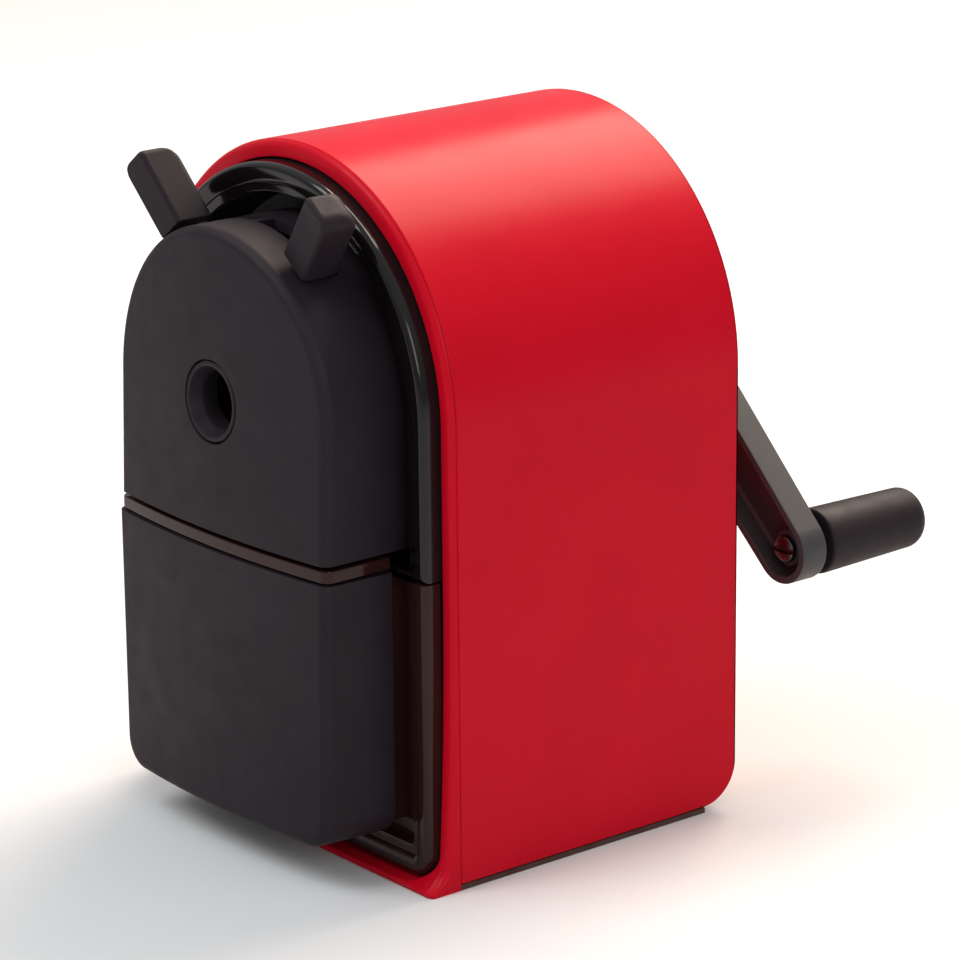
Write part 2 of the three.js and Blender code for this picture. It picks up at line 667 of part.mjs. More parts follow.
function addCarriage() {
  const carriage = new THREE.Group();
  addSolid(carriage, "carriage_shell", carriageShell(), MATTE_BLACK);
  addSolid(carriage, "carriage_back", carriageBack(), GLOSS_BLACK);
  addSolid(carriage, "pencil_ring", pencilRing(), MATTE_BLACK);
  for (const [side, s] of [["left", -1], ["right", 1]]) {
    const head = disc(s * ROD_X, ROD_Z, 2.4, CARRIAGE_REAR - 3.2, CARRIAGE_REAR - 2.3, 14);
    const rod = disc(s * ROD_X, ROD_Z, ROD_RADIUS, CARRIAGE_REAR - 2.4, ROD_REAR, 14);
    const neck = tube(s * ROD_X, ROD_Z, 3, 1.1, ROD_REAR - 1.6, ROD_REAR - 0.6, 14);
    addSolid(carriage, `guide_rod_${side}`, cut(join(head, rod), neck), STEEL);
    const clip = tube(s * ROD_X, ROD_Z, 3, ROD_RADIUS + 0.15, ROD_REAR - 1.5, ROD_REAR - 0.7, 16);
    addSolid(carriage, `rod_clip_${side}`, clip, DARK_STEEL);
    const pin = disc(s * PIVOT_X, AXIS_Z + PIVOT_RISE, PIN_RADIUS, CARRIAGE_FRONT + 4, CARRIAGE_REAR, 12);
    addSolid(carriage, `lever_pin_${side}`, pin, STEEL);
  }
  const spring = addGeometry(carriage, "grip_spring", coilSpring(GRIP_COIL, GRIP_SPAN, 5, 0.3), STEEL);
  spring.rotation.z = -Math.PI / 2;
  spring.position.set(-GRIP_SPAN / 2, LEVER_PLATE_Y[1] + 2.6, AXIS_Z + GRIP_RISE);
  return carriage;
}

// ---------- levers ----------
// Drawn for the right-hand side; the left lever is its mirror image.
function leverFrame(along, across) {
  const lean = rad(LEVER_ANGLE);
  return new THREE.Vector2(
    along * Math.sin(lean) - across * Math.cos(lean),
    AXIS_Z + along * Math.cos(lean) + across * Math.sin(lean),
  );
}

// Distance of a point from the pencil axis along the handle.
function alongLever(x, z) {
  const lean = rad(LEVER_ANGLE);
  return x * Math.sin(lean) + (z - AXIS_Z) * Math.cos(lean);
}

function mirrorPoints(points, side) {
  return side > 0 ? points : points.map((p) => new THREE.Vector2(-p.x, p.y)).reverse();
}

function leverCap(side) {
  const [near, far] = [LEVER_OFFSET - LEVER_WIDTH / 2, LEVER_OFFSET + LEVER_WIDTH / 2];
  const corner = 1.4;
  const local = [
    ...arc(LEVER_END - corner, far - corner, corner, 90, 0, 3),
    ...arc(LEVER_END - corner, near + corner, corner, 0, -90, 3),
    new THREE.Vector2(LEVER_START, near),
    new THREE.Vector2(LEVER_START, far),
  ];
  const outline = local.map((p) => leverFrame(p.x, p.y));
  const block = prismY(mirrorPoints(outline, side), LEVER_FRONT, LEVER_FRONT + LEVER_DEPTH);
  const slab = leanFront(block, -LEVER_LEAN, (x, z) => alongLever(x * side, z) - LEVER_START);
  const pocket = [
    [LEVER_START - 1, LEVER_OFFSET - 1.8],
    [LEVER_START - 1, LEVER_OFFSET + 1.8],
    [LEVER_START + 6.3, LEVER_OFFSET + 1.8],
    [LEVER_START + 6.3, LEVER_OFFSET - 1.8],
  ].map(([a, b]) => leverFrame(a, b));
  return cut(slab, alongY(mirrorPoints(pocket, side), LEVER_PLATE_Y[0] - GAP, LEVER_PLATE_Y[1] + 1));
}

function leverPlate(side) {
  const arm = linkOutline(
    PIVOT_X,
    AXIS_Z + PIVOT_RISE,
    3,
    leverFrame(LEVER_START - 2, LEVER_OFFSET).x,
    leverFrame(LEVER_START - 2, LEVER_OFFSET).y,
    1.5,
    6,
  );
  const tang = [
    [LEVER_START - 5, LEVER_OFFSET - 1.5],
    [LEVER_START - 5, LEVER_OFFSET + 1.5],
    [LEVER_START + 6, LEVER_OFFSET + 1.5],
    [LEVER_START + 6, LEVER_OFFSET - 1.5],
  ].map(([a, b]) => leverFrame(a, b));
  const tail = linkOutline(PIVOT_X, AXIS_Z + PIVOT_RISE, 3, JAW_REACH - 0.2, AXIS_Z - 1, 2.6, 6);
  const wingFrom = degrees(Math.acos(WING_X / WING_RADIUS));
  const wing = [
    ...arc(0, AXIS_Z, WING_RADIUS, 50, wingFrom, 8),
    ...arc(0, AXIS_Z, WING_RADIUS - WING_WIDTH, wingFrom, 50, 8),
  ];
  const pin = circle(PIVOT_X, AXIS_Z + PIVOT_RISE, PIN_RADIUS + 0.15, 12);
  const parts = [arm, tang, tail, wing].map((p) => alongY(mirrorPoints(p, side), ...LEVER_PLATE_Y));
  return cut(join(...parts), alongY(mirrorPoints(pin, side), -60, 0));
}

function jaw(side) {
  const [low, high] = [AXIS_Z - JAW_HALF_HEIGHT, AXIS_Z + JAW_HALF_HEIGHT];
  const teeth = [];
  for (let i = 0; i <= 8; i++) {
    teeth.push(new THREE.Vector2(JAW_OPEN + (i % 2) * 0.5, low + ((high - low) * i) / 8));
  }
  const back = [
    [4.4, high],
    [JAW_REACH, AXIS_Z],
    [4.4, low],
  ].map(([x, z]) => new THREE.Vector2(x, z));
  const outline = [...teeth, ...back].reverse();
  return alongY(mirrorPoints(outline, side), LEVER_PLATE_Y[1] + GAP, LEVER_PLATE_Y[1] + 5.4);
}

function addLever(side, s) {
  const lever = new THREE.Group();
  addSolid(lever, `lever_cap_${side}`, leverCap(s), MATTE_BLACK);
  addSolid(lever, `lever_plate_${side}`, leverPlate(s), STEEL);
  addSolid(lever, `jaw_${side}`, jaw(s), DARK_STEEL);
  return lever;
}

// ---------- drawer ----------
function drawerTray() {
  const panel = panelOutline(BEZEL_RADIUS, DRAWER_BOTTOM, PARTING_Z - 0.2, 4.4);
  const plate = alongY(panel, BEZEL_FRONT, FRONT - 0.6);
  const bin = box(-BIN_HALF, BIN_HALF, FRONT - 1, DRAWER_REAR, DRAWER_BOTTOM + 1.9, BIN_TOP);
  const strip = crownedPlan(COVER_FRONT + 0.5, COVER_HALF - 0.3, FRONT - 1);
  const bulge = alongZ(strip, COVER_TOP + 0.25, CARRIAGE_BOTTOM - 0.7);
  const [insideHalf, insideFront] = [COVER_HALF - COVER_WALL - GAP, COVER_FRONT + COVER_WALL + GAP];
  const inside = crownedPlan(insideFront, insideHalf, FRONT - 1);
  const plug = alongZ(inside, COVER_BOTTOM + COVER_WALL + GAP, COVER_TOP + 0.5);
  const [roomHalf, roomRear] = [BIN_HALF - TRAY_WALL, DRAWER_REAR - TRAY_WALL];
  const room = box(-roomHalf, roomHalf, FRONT - 0.8, roomRear, DRAWER_BOTTOM + 3.5, BIN_TOP + 20);
  const pocket = box(-24, 24, COVER_FRONT + 6, FRONT, COVER_BOTTOM + 3.6, COVER_TOP - 1);
  const clearOfBezel = box(-50, 50, BEZEL_FRONT - GAP, REAR, PARTING_Z - 0.15, BIN_TOP + 20);
  return cut(join(plate, bin, bulge, plug), room, pocket, clearOfBezel);
}

function drawerCover() {
  const belowTop = (x, z) => z - COVER_TOP;
  const outline = alongY(panelOutline(COVER_REAR_HALF, COVER_BOTTOM, COVER_TOP, 5), -60, 0);
  const plan = crownedPlan(COVER_FRONT, COVER_HALF, BEZEL_FRONT - GAP, COVER_REAR_HALF);
  const block = leanFront(prismZ(plan, 0, COVER_TOP + 5), COVER_LEAN, belowTop).intersect(outline);
  const insideHalf = COVER_HALF - COVER_WALL;
  const inside = alongY(panelOutline(insideHalf, COVER_BOTTOM + COVER_WALL, COVER_TOP + 20, 1), -60, 5);
  const hollow = alongZ(crownedPlan(COVER_FRONT + COVER_WALL, insideHalf, 0), 0, COVER_TOP + 5);
  return cut(block, hollow.intersect(inside));
}

function addDrawer() {
  const drawer = new THREE.Group();
  addSolid(drawer, "drawer_tray", drawerTray(), SMOKE);
  addSolid(drawer, "drawer_cover", drawerCover(), MATTE_BLACK);
  return drawer;
}

// ---------- crank ----------
function crankArm() {
  const link = (inset) => {
    return linkOutline(0, AXIS_Z, HUB_RADIUS - inset, KNOB_X, KNOB_Z, ARM_END_RADIUS - inset);
  };
  const body = alongY(link(0), ARM_FRONT, ARM_REAR);
  const channel = alongY(link(ARM_RIM), ARM_FRONT - 1, ARM_REAR - ARM_WEB);
  const hub = disc(0, AXIS_Z, 5, BOSS_REAR + GAP, ARM_REAR - 0.5);
  const boss = disc(KNOB_X, KNOB_Z, 3.2, ARM_FRONT + 1.6, ARM_REAR - 0.5, 20);
  const shaftBore = disc(0, AXIS_Z, SHAFT_RADIUS + RUNNING_GAP, 30, 60);
  const axleBore = disc(KNOB_X, KNOB_Z, AXLE_RADIUS + GAP, 30, 60, 16);
  return cut(join(cut(body, channel), hub, boss), shaftBore, axleBore);
}

function crankKnob() {
  const end = KNOB_RADIUS - 0.4;
  const round = 2.7;
  const nose = arc(end - round, KNOB_REAR - round, round, 0, 90, 5).map((p) => [p.x, p.y]);
  const profile = [
    [0, AXLE_REAR + 0.7],
    [AXLE_RADIUS + RUNNING_GAP, AXLE_REAR + 0.7],
    [AXLE_RADIUS + RUNNING_GAP, KNOB_FRONT],
    [KNOB_RADIUS - 0.3, KNOB_FRONT],
    [KNOB_RADIUS, KNOB_FRONT + 0.4],
    ...nose,
    [0, KNOB_REAR],
  ];
  return turned(profile, KNOB_X, KNOB_Z);
}

function knobAxle() {
  const head = disc(KNOB_X, KNOB_Z, 2.4, ARM_FRONT + 0.2, ARM_FRONT + 1.3, 18);
  const shank = disc(KNOB_X, KNOB_Z, AXLE_RADIUS, ARM_FRONT + 1.2, AXLE_REAR, 14);
  const notch = box(KNOB_X - 3, KNOB_X + 3, ARM_FRONT, ARM_FRONT + 0.8, KNOB_Z - 0.35, KNOB_Z + 0.35);
  return cut(join(head, shank), notch);
}

function cutterCarrier() {
  const rear = disc(0, AXIS_Z, 9.4, MESH_Y + 3.4, MESH_Y + 6.4);
  const front = disc(0, AXIS_Z, 15, -16, -13.4, 28);
  const bars = [225, 315].map((a) => {
    const [x, z] = polar(7.4, a);
    return box(x - 1.3, x + 1.3, -14, MESH_Y + 4, z - 1.3, z + 1.3);
  });
  const pencil = disc(0, AXIS_Z, 4.6, -20, 5, 20);
  const shaft = disc(0, AXIS_Z, SHAFT_RADIUS + RUNNING_GAP, MESH_Y, 20, 20);
  return cut(join(rear, front, ...bars), pencil, shaft, tiltedRod(1.75, -30, 30));
}

// Everything on the cutter's own axis is drawn along local Y with its zero at the mesh plane, then tilted.
function tilt(geometry) {
  geometry.rotateX(-rad(CUTTER_TILT));
  geometry.translate(0, MESH_Y, AXIS_Z + MESH_DISTANCE);
  return geometry;
}

function tiltedRod(radius, y0, y1) {
  const geometry = new THREE.CylinderGeometry(radius, radius, y1 - y0, 14);
  geometry.translate(0, (y0 + y1) / 2, 0);
  return toSolid(tilt(geometry));
}

function helicalCutter() {
  const outline = toothedOutline(12, 5.6, 6.5, 1);
  const length = CUTTER_SPAN[1] - CUTTER_SPAN[0];
  const shape = new THREE.Shape(outline);
  shape.holes.push(new THREE.Path(circle(0, 0, 1.9, 12)));
  const geometry = new THREE.ExtrudeGeometry(shape, { depth: length, steps: 8, bevelEnabled: false });
  const position = geometry.getAttribute("position");
  const point = new THREE.Vector3();
  const axis = new THREE.Vector3(0, 0, 1);
  for (let i = 0; i < position.count; i++) {
    point.fromBufferAttribute(position, i);
    point.applyAxisAngle(axis, (point.z / length) * rad(150));
    position.setXYZ(i, point.x, point.y, point.z);
  }
  geometry.rotateX(Math.PI / 2);
  geometry.translate(0, CUTTER_SPAN[1], 0);
  return tilt(geometry);
}

function cutterPinion() {
  const shape = new THREE.Shape(toothedOutline(PINION_TEETH, 4.5, 5.55, 1));
  shape.holes.push(new THREE.Path(circle(0, 0, 1.9, 12)));
  const geometry = new THREE.ExtrudeGeometry(shape, { depth: 3, bevelEnabled: false });
  geometry.rotateX(Math.PI / 2);
  geometry.translate(0, 1.5, 0);
  return tilt(geometry);
}

function addCrank() {
  const crank = new THREE.Group();
  addSolid(crank, "crank_arm", crankArm(), ARM_GREY);
  addSolid(crank, "knob_axle", knobAxle(), STEEL);
  const shaft = disc(0, AXIS_Z, SHAFT_RADIUS, MESH_Y + 3.6, ARM_REAR + 0.2, 20);
  addSolid(crank, "crank_shaft", shaft, STEEL);
  const nut = cut(
    alongY(circle(0, AXIS_Z, 5, 6), ARM_REAR + GAP, ARM_REAR + 3),
    disc(0, AXIS_Z, 2.2, ARM_REAR + 1.4, 60, 14),
    disc(0, AXIS_Z, SHAFT_RADIUS + RUNNING_GAP, 40, ARM_REAR + 0.5, 20),
  );
  addSolid(crank, "crank_nut", nut, DARK_STEEL);
  addSolid(crank, "cutter_carrier", cutterCarrier(), STEEL);
  addSolid(crank, "cutter_axle", tiltedRod(1.5, -28, 5.2), STEEL);
  return crank;
}

function addCutter() {
  const cutter = new THREE.Group();
  addGeometry(cutter, "helical_cutter", helicalCutter(), DARK_STEEL);
  addGeometry(cutter, "cutter_pinion", cutterPinion(), STEEL);
  return cutter;
}

sharpener.add(addHousing(), addCarriage(), addLever("left", -1), addLever("right", 1));
sharpener.add(addDrawer(), addCrank(), addCutter());
addSolid(sharpener, "crank_knob", crankKnob(), MATTE_BLACK);

export default sharpener;
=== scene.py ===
"""Looks of the crank pencil sharpener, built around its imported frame.

Lengths are in millimetres in the frame's own axes (+Z up, the front faces -Y) until mesh_object
turns them into metres. Sizes come from the boxes of the CAD nodes.
"""
import json
import math

import bmesh
import bpy
from mathutils import Matrix, Vector


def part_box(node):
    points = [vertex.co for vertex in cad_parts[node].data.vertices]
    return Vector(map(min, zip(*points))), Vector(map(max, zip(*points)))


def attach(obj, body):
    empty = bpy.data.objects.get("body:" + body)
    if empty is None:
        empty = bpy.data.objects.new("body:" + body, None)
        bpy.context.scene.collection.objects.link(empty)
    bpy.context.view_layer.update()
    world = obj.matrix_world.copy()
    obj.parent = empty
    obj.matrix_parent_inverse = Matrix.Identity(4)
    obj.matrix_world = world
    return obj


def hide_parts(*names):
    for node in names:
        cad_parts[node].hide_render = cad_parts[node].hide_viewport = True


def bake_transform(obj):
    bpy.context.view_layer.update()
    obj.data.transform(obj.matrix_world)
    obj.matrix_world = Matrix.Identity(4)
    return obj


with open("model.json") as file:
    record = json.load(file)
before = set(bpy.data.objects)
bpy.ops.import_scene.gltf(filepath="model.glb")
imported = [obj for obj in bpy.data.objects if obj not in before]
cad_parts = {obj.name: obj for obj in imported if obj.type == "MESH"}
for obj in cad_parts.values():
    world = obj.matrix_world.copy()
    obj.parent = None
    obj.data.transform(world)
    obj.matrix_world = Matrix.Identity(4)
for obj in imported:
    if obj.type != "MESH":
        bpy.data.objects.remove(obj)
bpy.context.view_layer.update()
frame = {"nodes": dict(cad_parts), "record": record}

MM = 0.001
GAP = 0.3


def box_mm(node):
    """Lowest and highest corner of a CAD node, in millimetres."""
    low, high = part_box(node)
    return [v / MM for v in low], [v / MM for v in high]


# ---------- sizes read from the frame ----------
SHELL_LOW, SHELL_HIGH = box_mm("housing_shell")
BODY_RADIUS = SHELL_HIGH[0]
AXIS_Z = SHELL_HIGH[2] - BODY_RADIUS
SEAM_Y = SHELL_LOW[1]
REAR = SHELL_HIGH[1]
FRONT = -REAR
SHELL_BOTTOM = SHELL_LOW[2]
SILL_Y = box_mm("front_frame")[0][1]
BEZEL_LOW, BEZEL_HIGH = box_mm("front_bezel")
CARRIAGE_LOW, CARRIAGE_HIGH = box_mm("carriage_shell")
RING_LOW, RING_HIGH = box_mm("pencil_ring")
COVER_LOW, COVER_HIGH = box_mm("drawer_cover")
TRAY_LOW, TRAY_HIGH = box_mm("drawer_tray")
ARM_LOW, ARM_HIGH = box_mm("crank_arm")
KNOB_LOW, KNOB_HIGH = box_mm("crank_knob")
AXLE_LOW, AXLE_HIGH = box_mm("knob_axle")
REAR_LOW, REAR_HIGH = box_mm("rear_cover")
CAP_LOW, CAP_HIGH = box_mm("lever_cap_right")
KNOB_X = (KNOB_LOW[0] + KNOB_HIGH[0]) / 2
KNOB_Z = (KNOB_LOW[2] + KNOB_HIGH[2]) / 2
HUB_RADIUS = -ARM_LOW[0]
ARM_END_RADIUS = ARM_HIGH[0] - KNOB_X
ROD_LOW, ROD_HIGH = box_mm("guide_rod_right")
ROD_X = (ROD_LOW[0] + ROD_HIGH[0]) / 2
ROD_Z = (ROD_LOW[2] + ROD_HIGH[2]) / 2

# ---------- sizes of the fine shape ----------
SHELL_WALL = 1.3
HEEL_RADIUS = 7.0
RIM_INNER = 36.8
RIM_ROUND = 1.3
RIM_BOTTOM = 1.2
RIM_CORNER = 4.6
SWEEP_TOP = 6.5  # height at which the cheeks of the frame start to sweep out to the lip
CHEEK_TOP = 50.0  # below this the frame leans forward a little
CHEEK_LEAN = 1.2
SILL_TOP = 1.15
CROWN_RADIUS = 200.0
CARRIAGE_ROUND = 1.7
CARRIAGE_LEAN = 0.034  # millimetres back per millimetre of height
COVER_LEAN = 0.008
COVER_FRONT_HALF = 28.5
COVER_TAPER = 0.0005  # narrowing of the cover per millimetre below its top
CARRIAGE_WALL = 1.7
RECESS_RADIUS = 6.85  # seat of the pencil ring in the carriage
MOUTH_RADIUS = 31.6
MARGIN_DROP = 0.75
SLOT_X = (0.8, 17.6)
SLOT_Y = (-37.9, -34.7)
LEVER_ANGLE = 38.0
LEVER_OFFSET = 2.0
LEVER_WIDTH = 6.4
LEVER_START = 29.2
LEVER_END = 42.8
LEVER_LEAN = 0.112  # millimetres forward per millimetre of length
SHELL_SPLIT = 0.1  # how far the frame stops short of the seam with the shell
COLLAR_FOOT = 3.4
BEZEL_BACK = 1.6  # thickness of the wall at the bottom of the recess
SHAFT_HOLE = 7.0
ROD_HOLE = 3.5
PENCIL_HOLE = 4.9
REAR_EDGE = 0.4  # the field of the rear cover lies this far inside the shell
REAR_FOOT = 0.02
REAR_HEEL = 6.6
REAR_HEEL_INSIDE = 4.9
BOSS_FOOT = 14.5  # radius where the rear boss starts to rise
CHANNEL_WALL = 28.4
CHANNEL_LIP = 26.0
BIN_HALF = 34.4
BIN_LOW = 3.4
BIN_TOP = 48.0
ARM_DEPTH = 5.7
ARM_RIM = 1.3
ARM_WEB = 1.8

# ---------- camera ----------
CAMERA_AZIMUTH = 50.97  # degrees from straight in front towards +X
CAMERA_ELEVATION = 16.81
CAMERA_ROLL = -0.587
CAMERA_DISTANCE = 0.695
CAMERA_TARGET = (0.00943, 0.0, 0.05603)
CAMERA_LENS = 157.28

ARCH_STEPS = 96
LEG_STEPS = 18
CORNER_STEPS = 8
BASE_STEPS = 32


# ---------- outlines ----------
def arc(cx, cy, radius, start, end, steps):
    """Points on an arc, both ends included, angles in degrees."""
    points = []
    for i in range(steps + 1):
        angle = math.radians(start + (end - start) * i / steps)
        points.append((cx + radius * math.cos(angle), cy + radius * math.sin(angle)))
    return points


def spread(start, end, steps, power=1.0):
    """Values from start up to, but not including, end; a power over 1 crowds them near start."""
    return [start + (end - start) * (i / steps) ** power for i in range(steps)]


def arch_strip(radius, bottom):
    """Open line of (x, z) from the foot of the right leg over the arch to the foot of the left leg."""
    leg = [(radius, z) for z in spread(bottom, AXIS_Z, LEG_STEPS, 1.7)]
    return leg + arc(0, AXIS_Z, radius, 0, 180, ARCH_STEPS) + [(-x, z) for x, z in reversed(leg)]


def foot_line(half, bottom, corner):
    """Rounded left corner, straight base and rounded right corner, from left to right."""
    left = arc(-half + corner, bottom + corner, corner, 180, 270, CORNER_STEPS)[1:]
    right = arc(half - corner, bottom + corner, corner, 270, 360, CORNER_STEPS)[:-1]
    base = [(x, bottom) for x in spread(-half + corner, half - corner, BASE_STEPS)[1:]]
    return left + base + right


def arch_loop(radius, bottom, corner=0.0):
    """Closed loop of (x, z) round an arch with straight legs."""
    return arch_strip(radius, bottom + corner) + foot_line(radius, bottom, corner)


def panel_loop(half, bottom, top, corner):
    """Closed loop of (x, z) round a panel with square upper and rounded lower corners."""
    right = [(half, z) for z in spread(bottom + corner, top, LEG_STEPS)]
    head = [(half - 2 * half * i / BASE_STEPS, top) for i in range(BASE_STEPS + 1)]
    left = [(-x, z) for x, z in reversed(right)]
    return right + head + left + foot_line(half, bottom, corner)


def link_loop(inset, steps=28):
    """Closed loop of (x, z) round the crank arm: two circles joined by tangents."""
    hub, end = HUB_RADIUS - inset, ARM_END_RADIUS - inset
    span = math.hypot(KNOB_X, KNOB_Z - AXIS_Z)
    lean = math.degrees(math.atan2(KNOB_Z - AXIS_Z, KNOB_X))
    wrap = math.degrees(math.acos((hub - end) / span))
    around_hub = arc(0, AXIS_Z, hub, lean + wrap, lean + 360 - wrap, steps)
    around_end = arc(KNOB_X, KNOB_Z, end, lean - wrap, lean + wrap, steps)
    return around_hub + around_end


def at_y(loop, y):
    return [(x, y, z) for x, z in loop]


def circle_toward(loop, radius):
    """Each point of the loop moved along its own direction from the axis on to a circle."""
    points = []
    for x, z in loop:
        reach = math.hypot(x, z - AXIS_Z)
        points.append((x * radius / reach, AXIS_Z + (z - AXIS_Z) * radius / reach))
    return points


def between(loop_a, loop_b, share):
    """Loop part of the way from loop_a to loop_b."""
    return [
        (ax + (bx - ax) * share, az + (bz - az) * share)
        for (ax, az), (bx, bz) in zip(loop_a, loop_b)
    ]


def sag(x):
    """How far a crowned front falls back at a distance x from its middle."""
    return CROWN_RADIUS - math.sqrt(CROWN_RADIUS ** 2 - x * x)


def crowned(points, lean=0.0, level=0.0):
    """Points of a flat front bent to its crown, and leaning back above a level."""
    return [(x, y + sag(x) + lean * (z - level), z) for x, y, z in points]


def plan_loop(front, half, rear, corner, steps=40):
    """Closed loop of (x, y) with a crowned front and rounded front corners."""
    shoulder = half - corner
    across = [-shoulder + 2 * shoulder * i / steps for i in range(steps + 1)]
    head = [(x, front + sag(x)) for x in across]
    drop = front + sag(shoulder) + corner
    right = arc(shoulder, drop, corner, -82, 0, 8)
    left = arc(-shoulder, drop, corner, 180, 262, 8)
    return head + right + [(half, rear), (-half, rear)] + left


# ---------- meshes ----------
def mesh_object(name, verts, faces):
    """Object from millimetre vertices, with doubles merged and faces turned outwards."""
    mesh = bpy.data.meshes.new(name)
    mesh.from_pydata([tuple(c * MM for c in v) for v in verts], [], faces)
    edit = bmesh.new()
    edit.from_mesh(mesh)
    bmesh.ops.remove_doubles(edit, verts=edit.verts, dist=0.002 * MM)
    bmesh.ops.dissolve_degenerate(edit, dist=0.001 * MM, edges=edit.edges)
    bmesh.ops.recalc_face_normals(edit, faces=edit.faces)
    edit.to_mesh(mesh)
    edit.free()
    obj = bpy.data.objects.new(name, mesh)
    bpy.context.scene.collection.objects.link(obj)
    return obj


def loft(name, rings, closed=False, cap_start=False, cap_end=False):
    """Skin through rings of equally many points; closed joins the last ring to the first."""
    count = len(rings[0])
    verts = [p for ring in rings for p in ring]
    faces = []
    for i in range(len(rings) if closed else len(rings) - 1):
        a, b = i * count, (i + 1) % len(rings) * count
        for k in range(count):
            n = (k + 1) % count
            faces.append((a + k, a + n, b + n, b + k))
    if cap_start:
        faces.append(tuple(range(count)))
    if cap_end:
        last = (len(rings) - 1) * count
        faces.append(tuple(range(last, last + count)))
    return mesh_object(name, verts, faces)


def turned(name, profile, x0=0.0, z0=None, steps=64, closed=False):
    """Solid of revolution about a line along Y.

    The profile is (radius, y). It starts and ends on the axis, or is closed and stays off it.
    """
    z0 = AXIS_Z if z0 is None else z0
    angles = [2 * math.pi * i / steps for i in range(steps)]
    rings = []
    for r, y in profile:
        rings.append([(x0 + r * math.cos(a), y, z0 + r * math.sin(a)) for a in angles])
    return loft(name, rings, closed=closed)


def prism_y(name, outline, y0, y1):
    return loft(name, [at_y(outline, y0), at_y(outline, y1)], cap_start=True, cap_end=True)


def block(name, low, high):
    outline = [(low[0], low[2]), (high[0], low[2]), (high[0], high[2]), (low[0], high[2])]
    return prism_y(name, outline, low[1], high[1])


def bake(obj):
    """Applies the object's modifiers to its mesh."""
    graph = bpy.context.evaluated_depsgraph_get()
    mesh = bpy.data.meshes.new_from_object(obj.evaluated_get(graph))
    obj.modifiers.clear()
    obj.data = mesh


def combine(obj, tool, operation="DIFFERENCE"):
    """Joins a tool to obj, or cuts it away, and removes the tool."""
    modifier = obj.modifiers.new("combine", "BOOLEAN")
    modifier.object = tool
    modifier.operation = operation
    modifier.solver = "EXACT"
    bake(obj)
    bpy.data.objects.remove(tool)
    return obj


def soften(obj, width, segments=3, angle=40):
    """Rounds the edges sharper than angle by width millimetres."""
    modifier = obj.modifiers.new("soften", "BEVEL")
    modifier.width = width * MM
    modifier.segments = segments
    modifier.limit_method = "ANGLE"
    modifier.angle_limit = math.radians(angle)
    modifier.harden_normals = False
    bake(obj)
    return obj


def place(obj, body, material, nodes=(), angle=32):
    """Smooth shading, material, slot and body of a finished piece; a blended piece has no body."""
    mesh = obj.data
    mesh.materials.clear()
    mesh.materials.append(material)
    for polygon in mesh.polygons:
        polygon.use_smooth = True
    mesh.set_sharp_from_angle(angle=math.radians(angle))
    normals = obj.modifiers.new("normals", "WEIGHTED_NORMAL")
    normals.keep_sharp = True
    normals.weight = 50
    if body:
        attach(obj, body)
    if nodes:
        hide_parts(*nodes)
    return obj


# ---------- materials ----------
class Surface:
    """A Principled material with its texture nodes, in object coordinates measured in metres."""

    def __init__(self, name, roughness, metallic=0.0, **sockets):
        self.material = bpy.data.materials.new(name)
        self.material.use_nodes = True
        self.tree = self.material.node_tree
        self.shader = self.tree.nodes["Principled BSDF"]
        self.shader.inputs["Roughness"].default_value = roughness
        self.shader.inputs["Metallic"].default_value = metallic
        for socket, value in sockets.items():
            self.shader.inputs[socket.replace("_", " ")].default_value = value
        self.place = self.tree.nodes.new("ShaderNodeTexCoord").outputs["Object"]
        self.height = None

    def noise(self, scale, detail=3.0, stretch=None):
        """Noise whose features are about 1/scale metres wide."""
        node = self.tree.nodes.new("ShaderNodeTexNoise")
        node.inputs["Scale"].default_value = scale
        node.inputs["Detail"].default_value = detail
        node.inputs["Roughness"].default_value = 0.55
        source = self.place
        if stretch:
            mapping = self.tree.nodes.new("ShaderNodeMapping")
            mapping.inputs["Scale"].default_value = stretch
            self.tree.links.new(source, mapping.inputs["Vector"])
            source = mapping.outputs["Vector"]
        self.tree.links.new(source, node.inputs["Vector"])
        return node.outputs["Fac"]

    def remap(self, value, low, high, source=(0.3, 0.7)):
        node = self.tree.nodes.new("ShaderNodeMapRange")
        node.inputs["From Min"].default_value = source[0]
        node.inputs["From Max"].default_value = source[1]
        node.inputs["To Min"].default_value = low
        node.inputs["To Max"].default_value = high
        self.tree.links.new(value, node.inputs["Value"])
        return node.outputs["Result"]

    def tones(self, value, *stops):
        """Base colour from a ramp of (position, colour) stops."""
        ramp = self.tree.nodes.new("ShaderNodeValToRGB")
        elements = ramp.color_ramp.elements
        while len(elements) < len(stops):
            elements.new(0.5)
        for element, (position, color) in zip(elements, stops):
            element.position = position
            element.color = (*color, 1.0)
        self.tree.links.new(value, ramp.inputs["Fac"])
        self.tree.links.new(ramp.outputs["Color"], self.shader.inputs["Base Color"])

    def gloss(self, value, low, high):
        self.tree.links.new(self.remap(value, low, high), self.shader.inputs["Roughness"])

    def bump(self, value, depth_mm, strength=1.0):
        """Adds a bump of that depth on top of those before it."""
        node = self.tree.nodes.new("ShaderNodeBump")
        node.inputs["Strength"].default_value = strength
        node.inputs["Distance"].default_value = depth_mm * MM
        self.tree.links.new(value, node.inputs["Height"])
        if self.height:
            self.tree.links.new(self.height, node.inputs["Normal"])
        self.height = node.outputs["Normal"]
        self.tree.links.new(self.height, self.shader.inputs["Normal"])


def red_enamel():
    s = Surface("red_enamel", 0.3, Specular_IOR_Level=0.07)
    s.tones(s.noise(45), (0.3, (0.435, 0.0022, 0.0120)), (0.7, (0.470, 0.0026, 0.0140)))
    s.gloss(s.noise(160, 4), 0.28, 0.34)
    s.bump(s.noise(1400, 2), 0.006, 0.3)
    return s.material


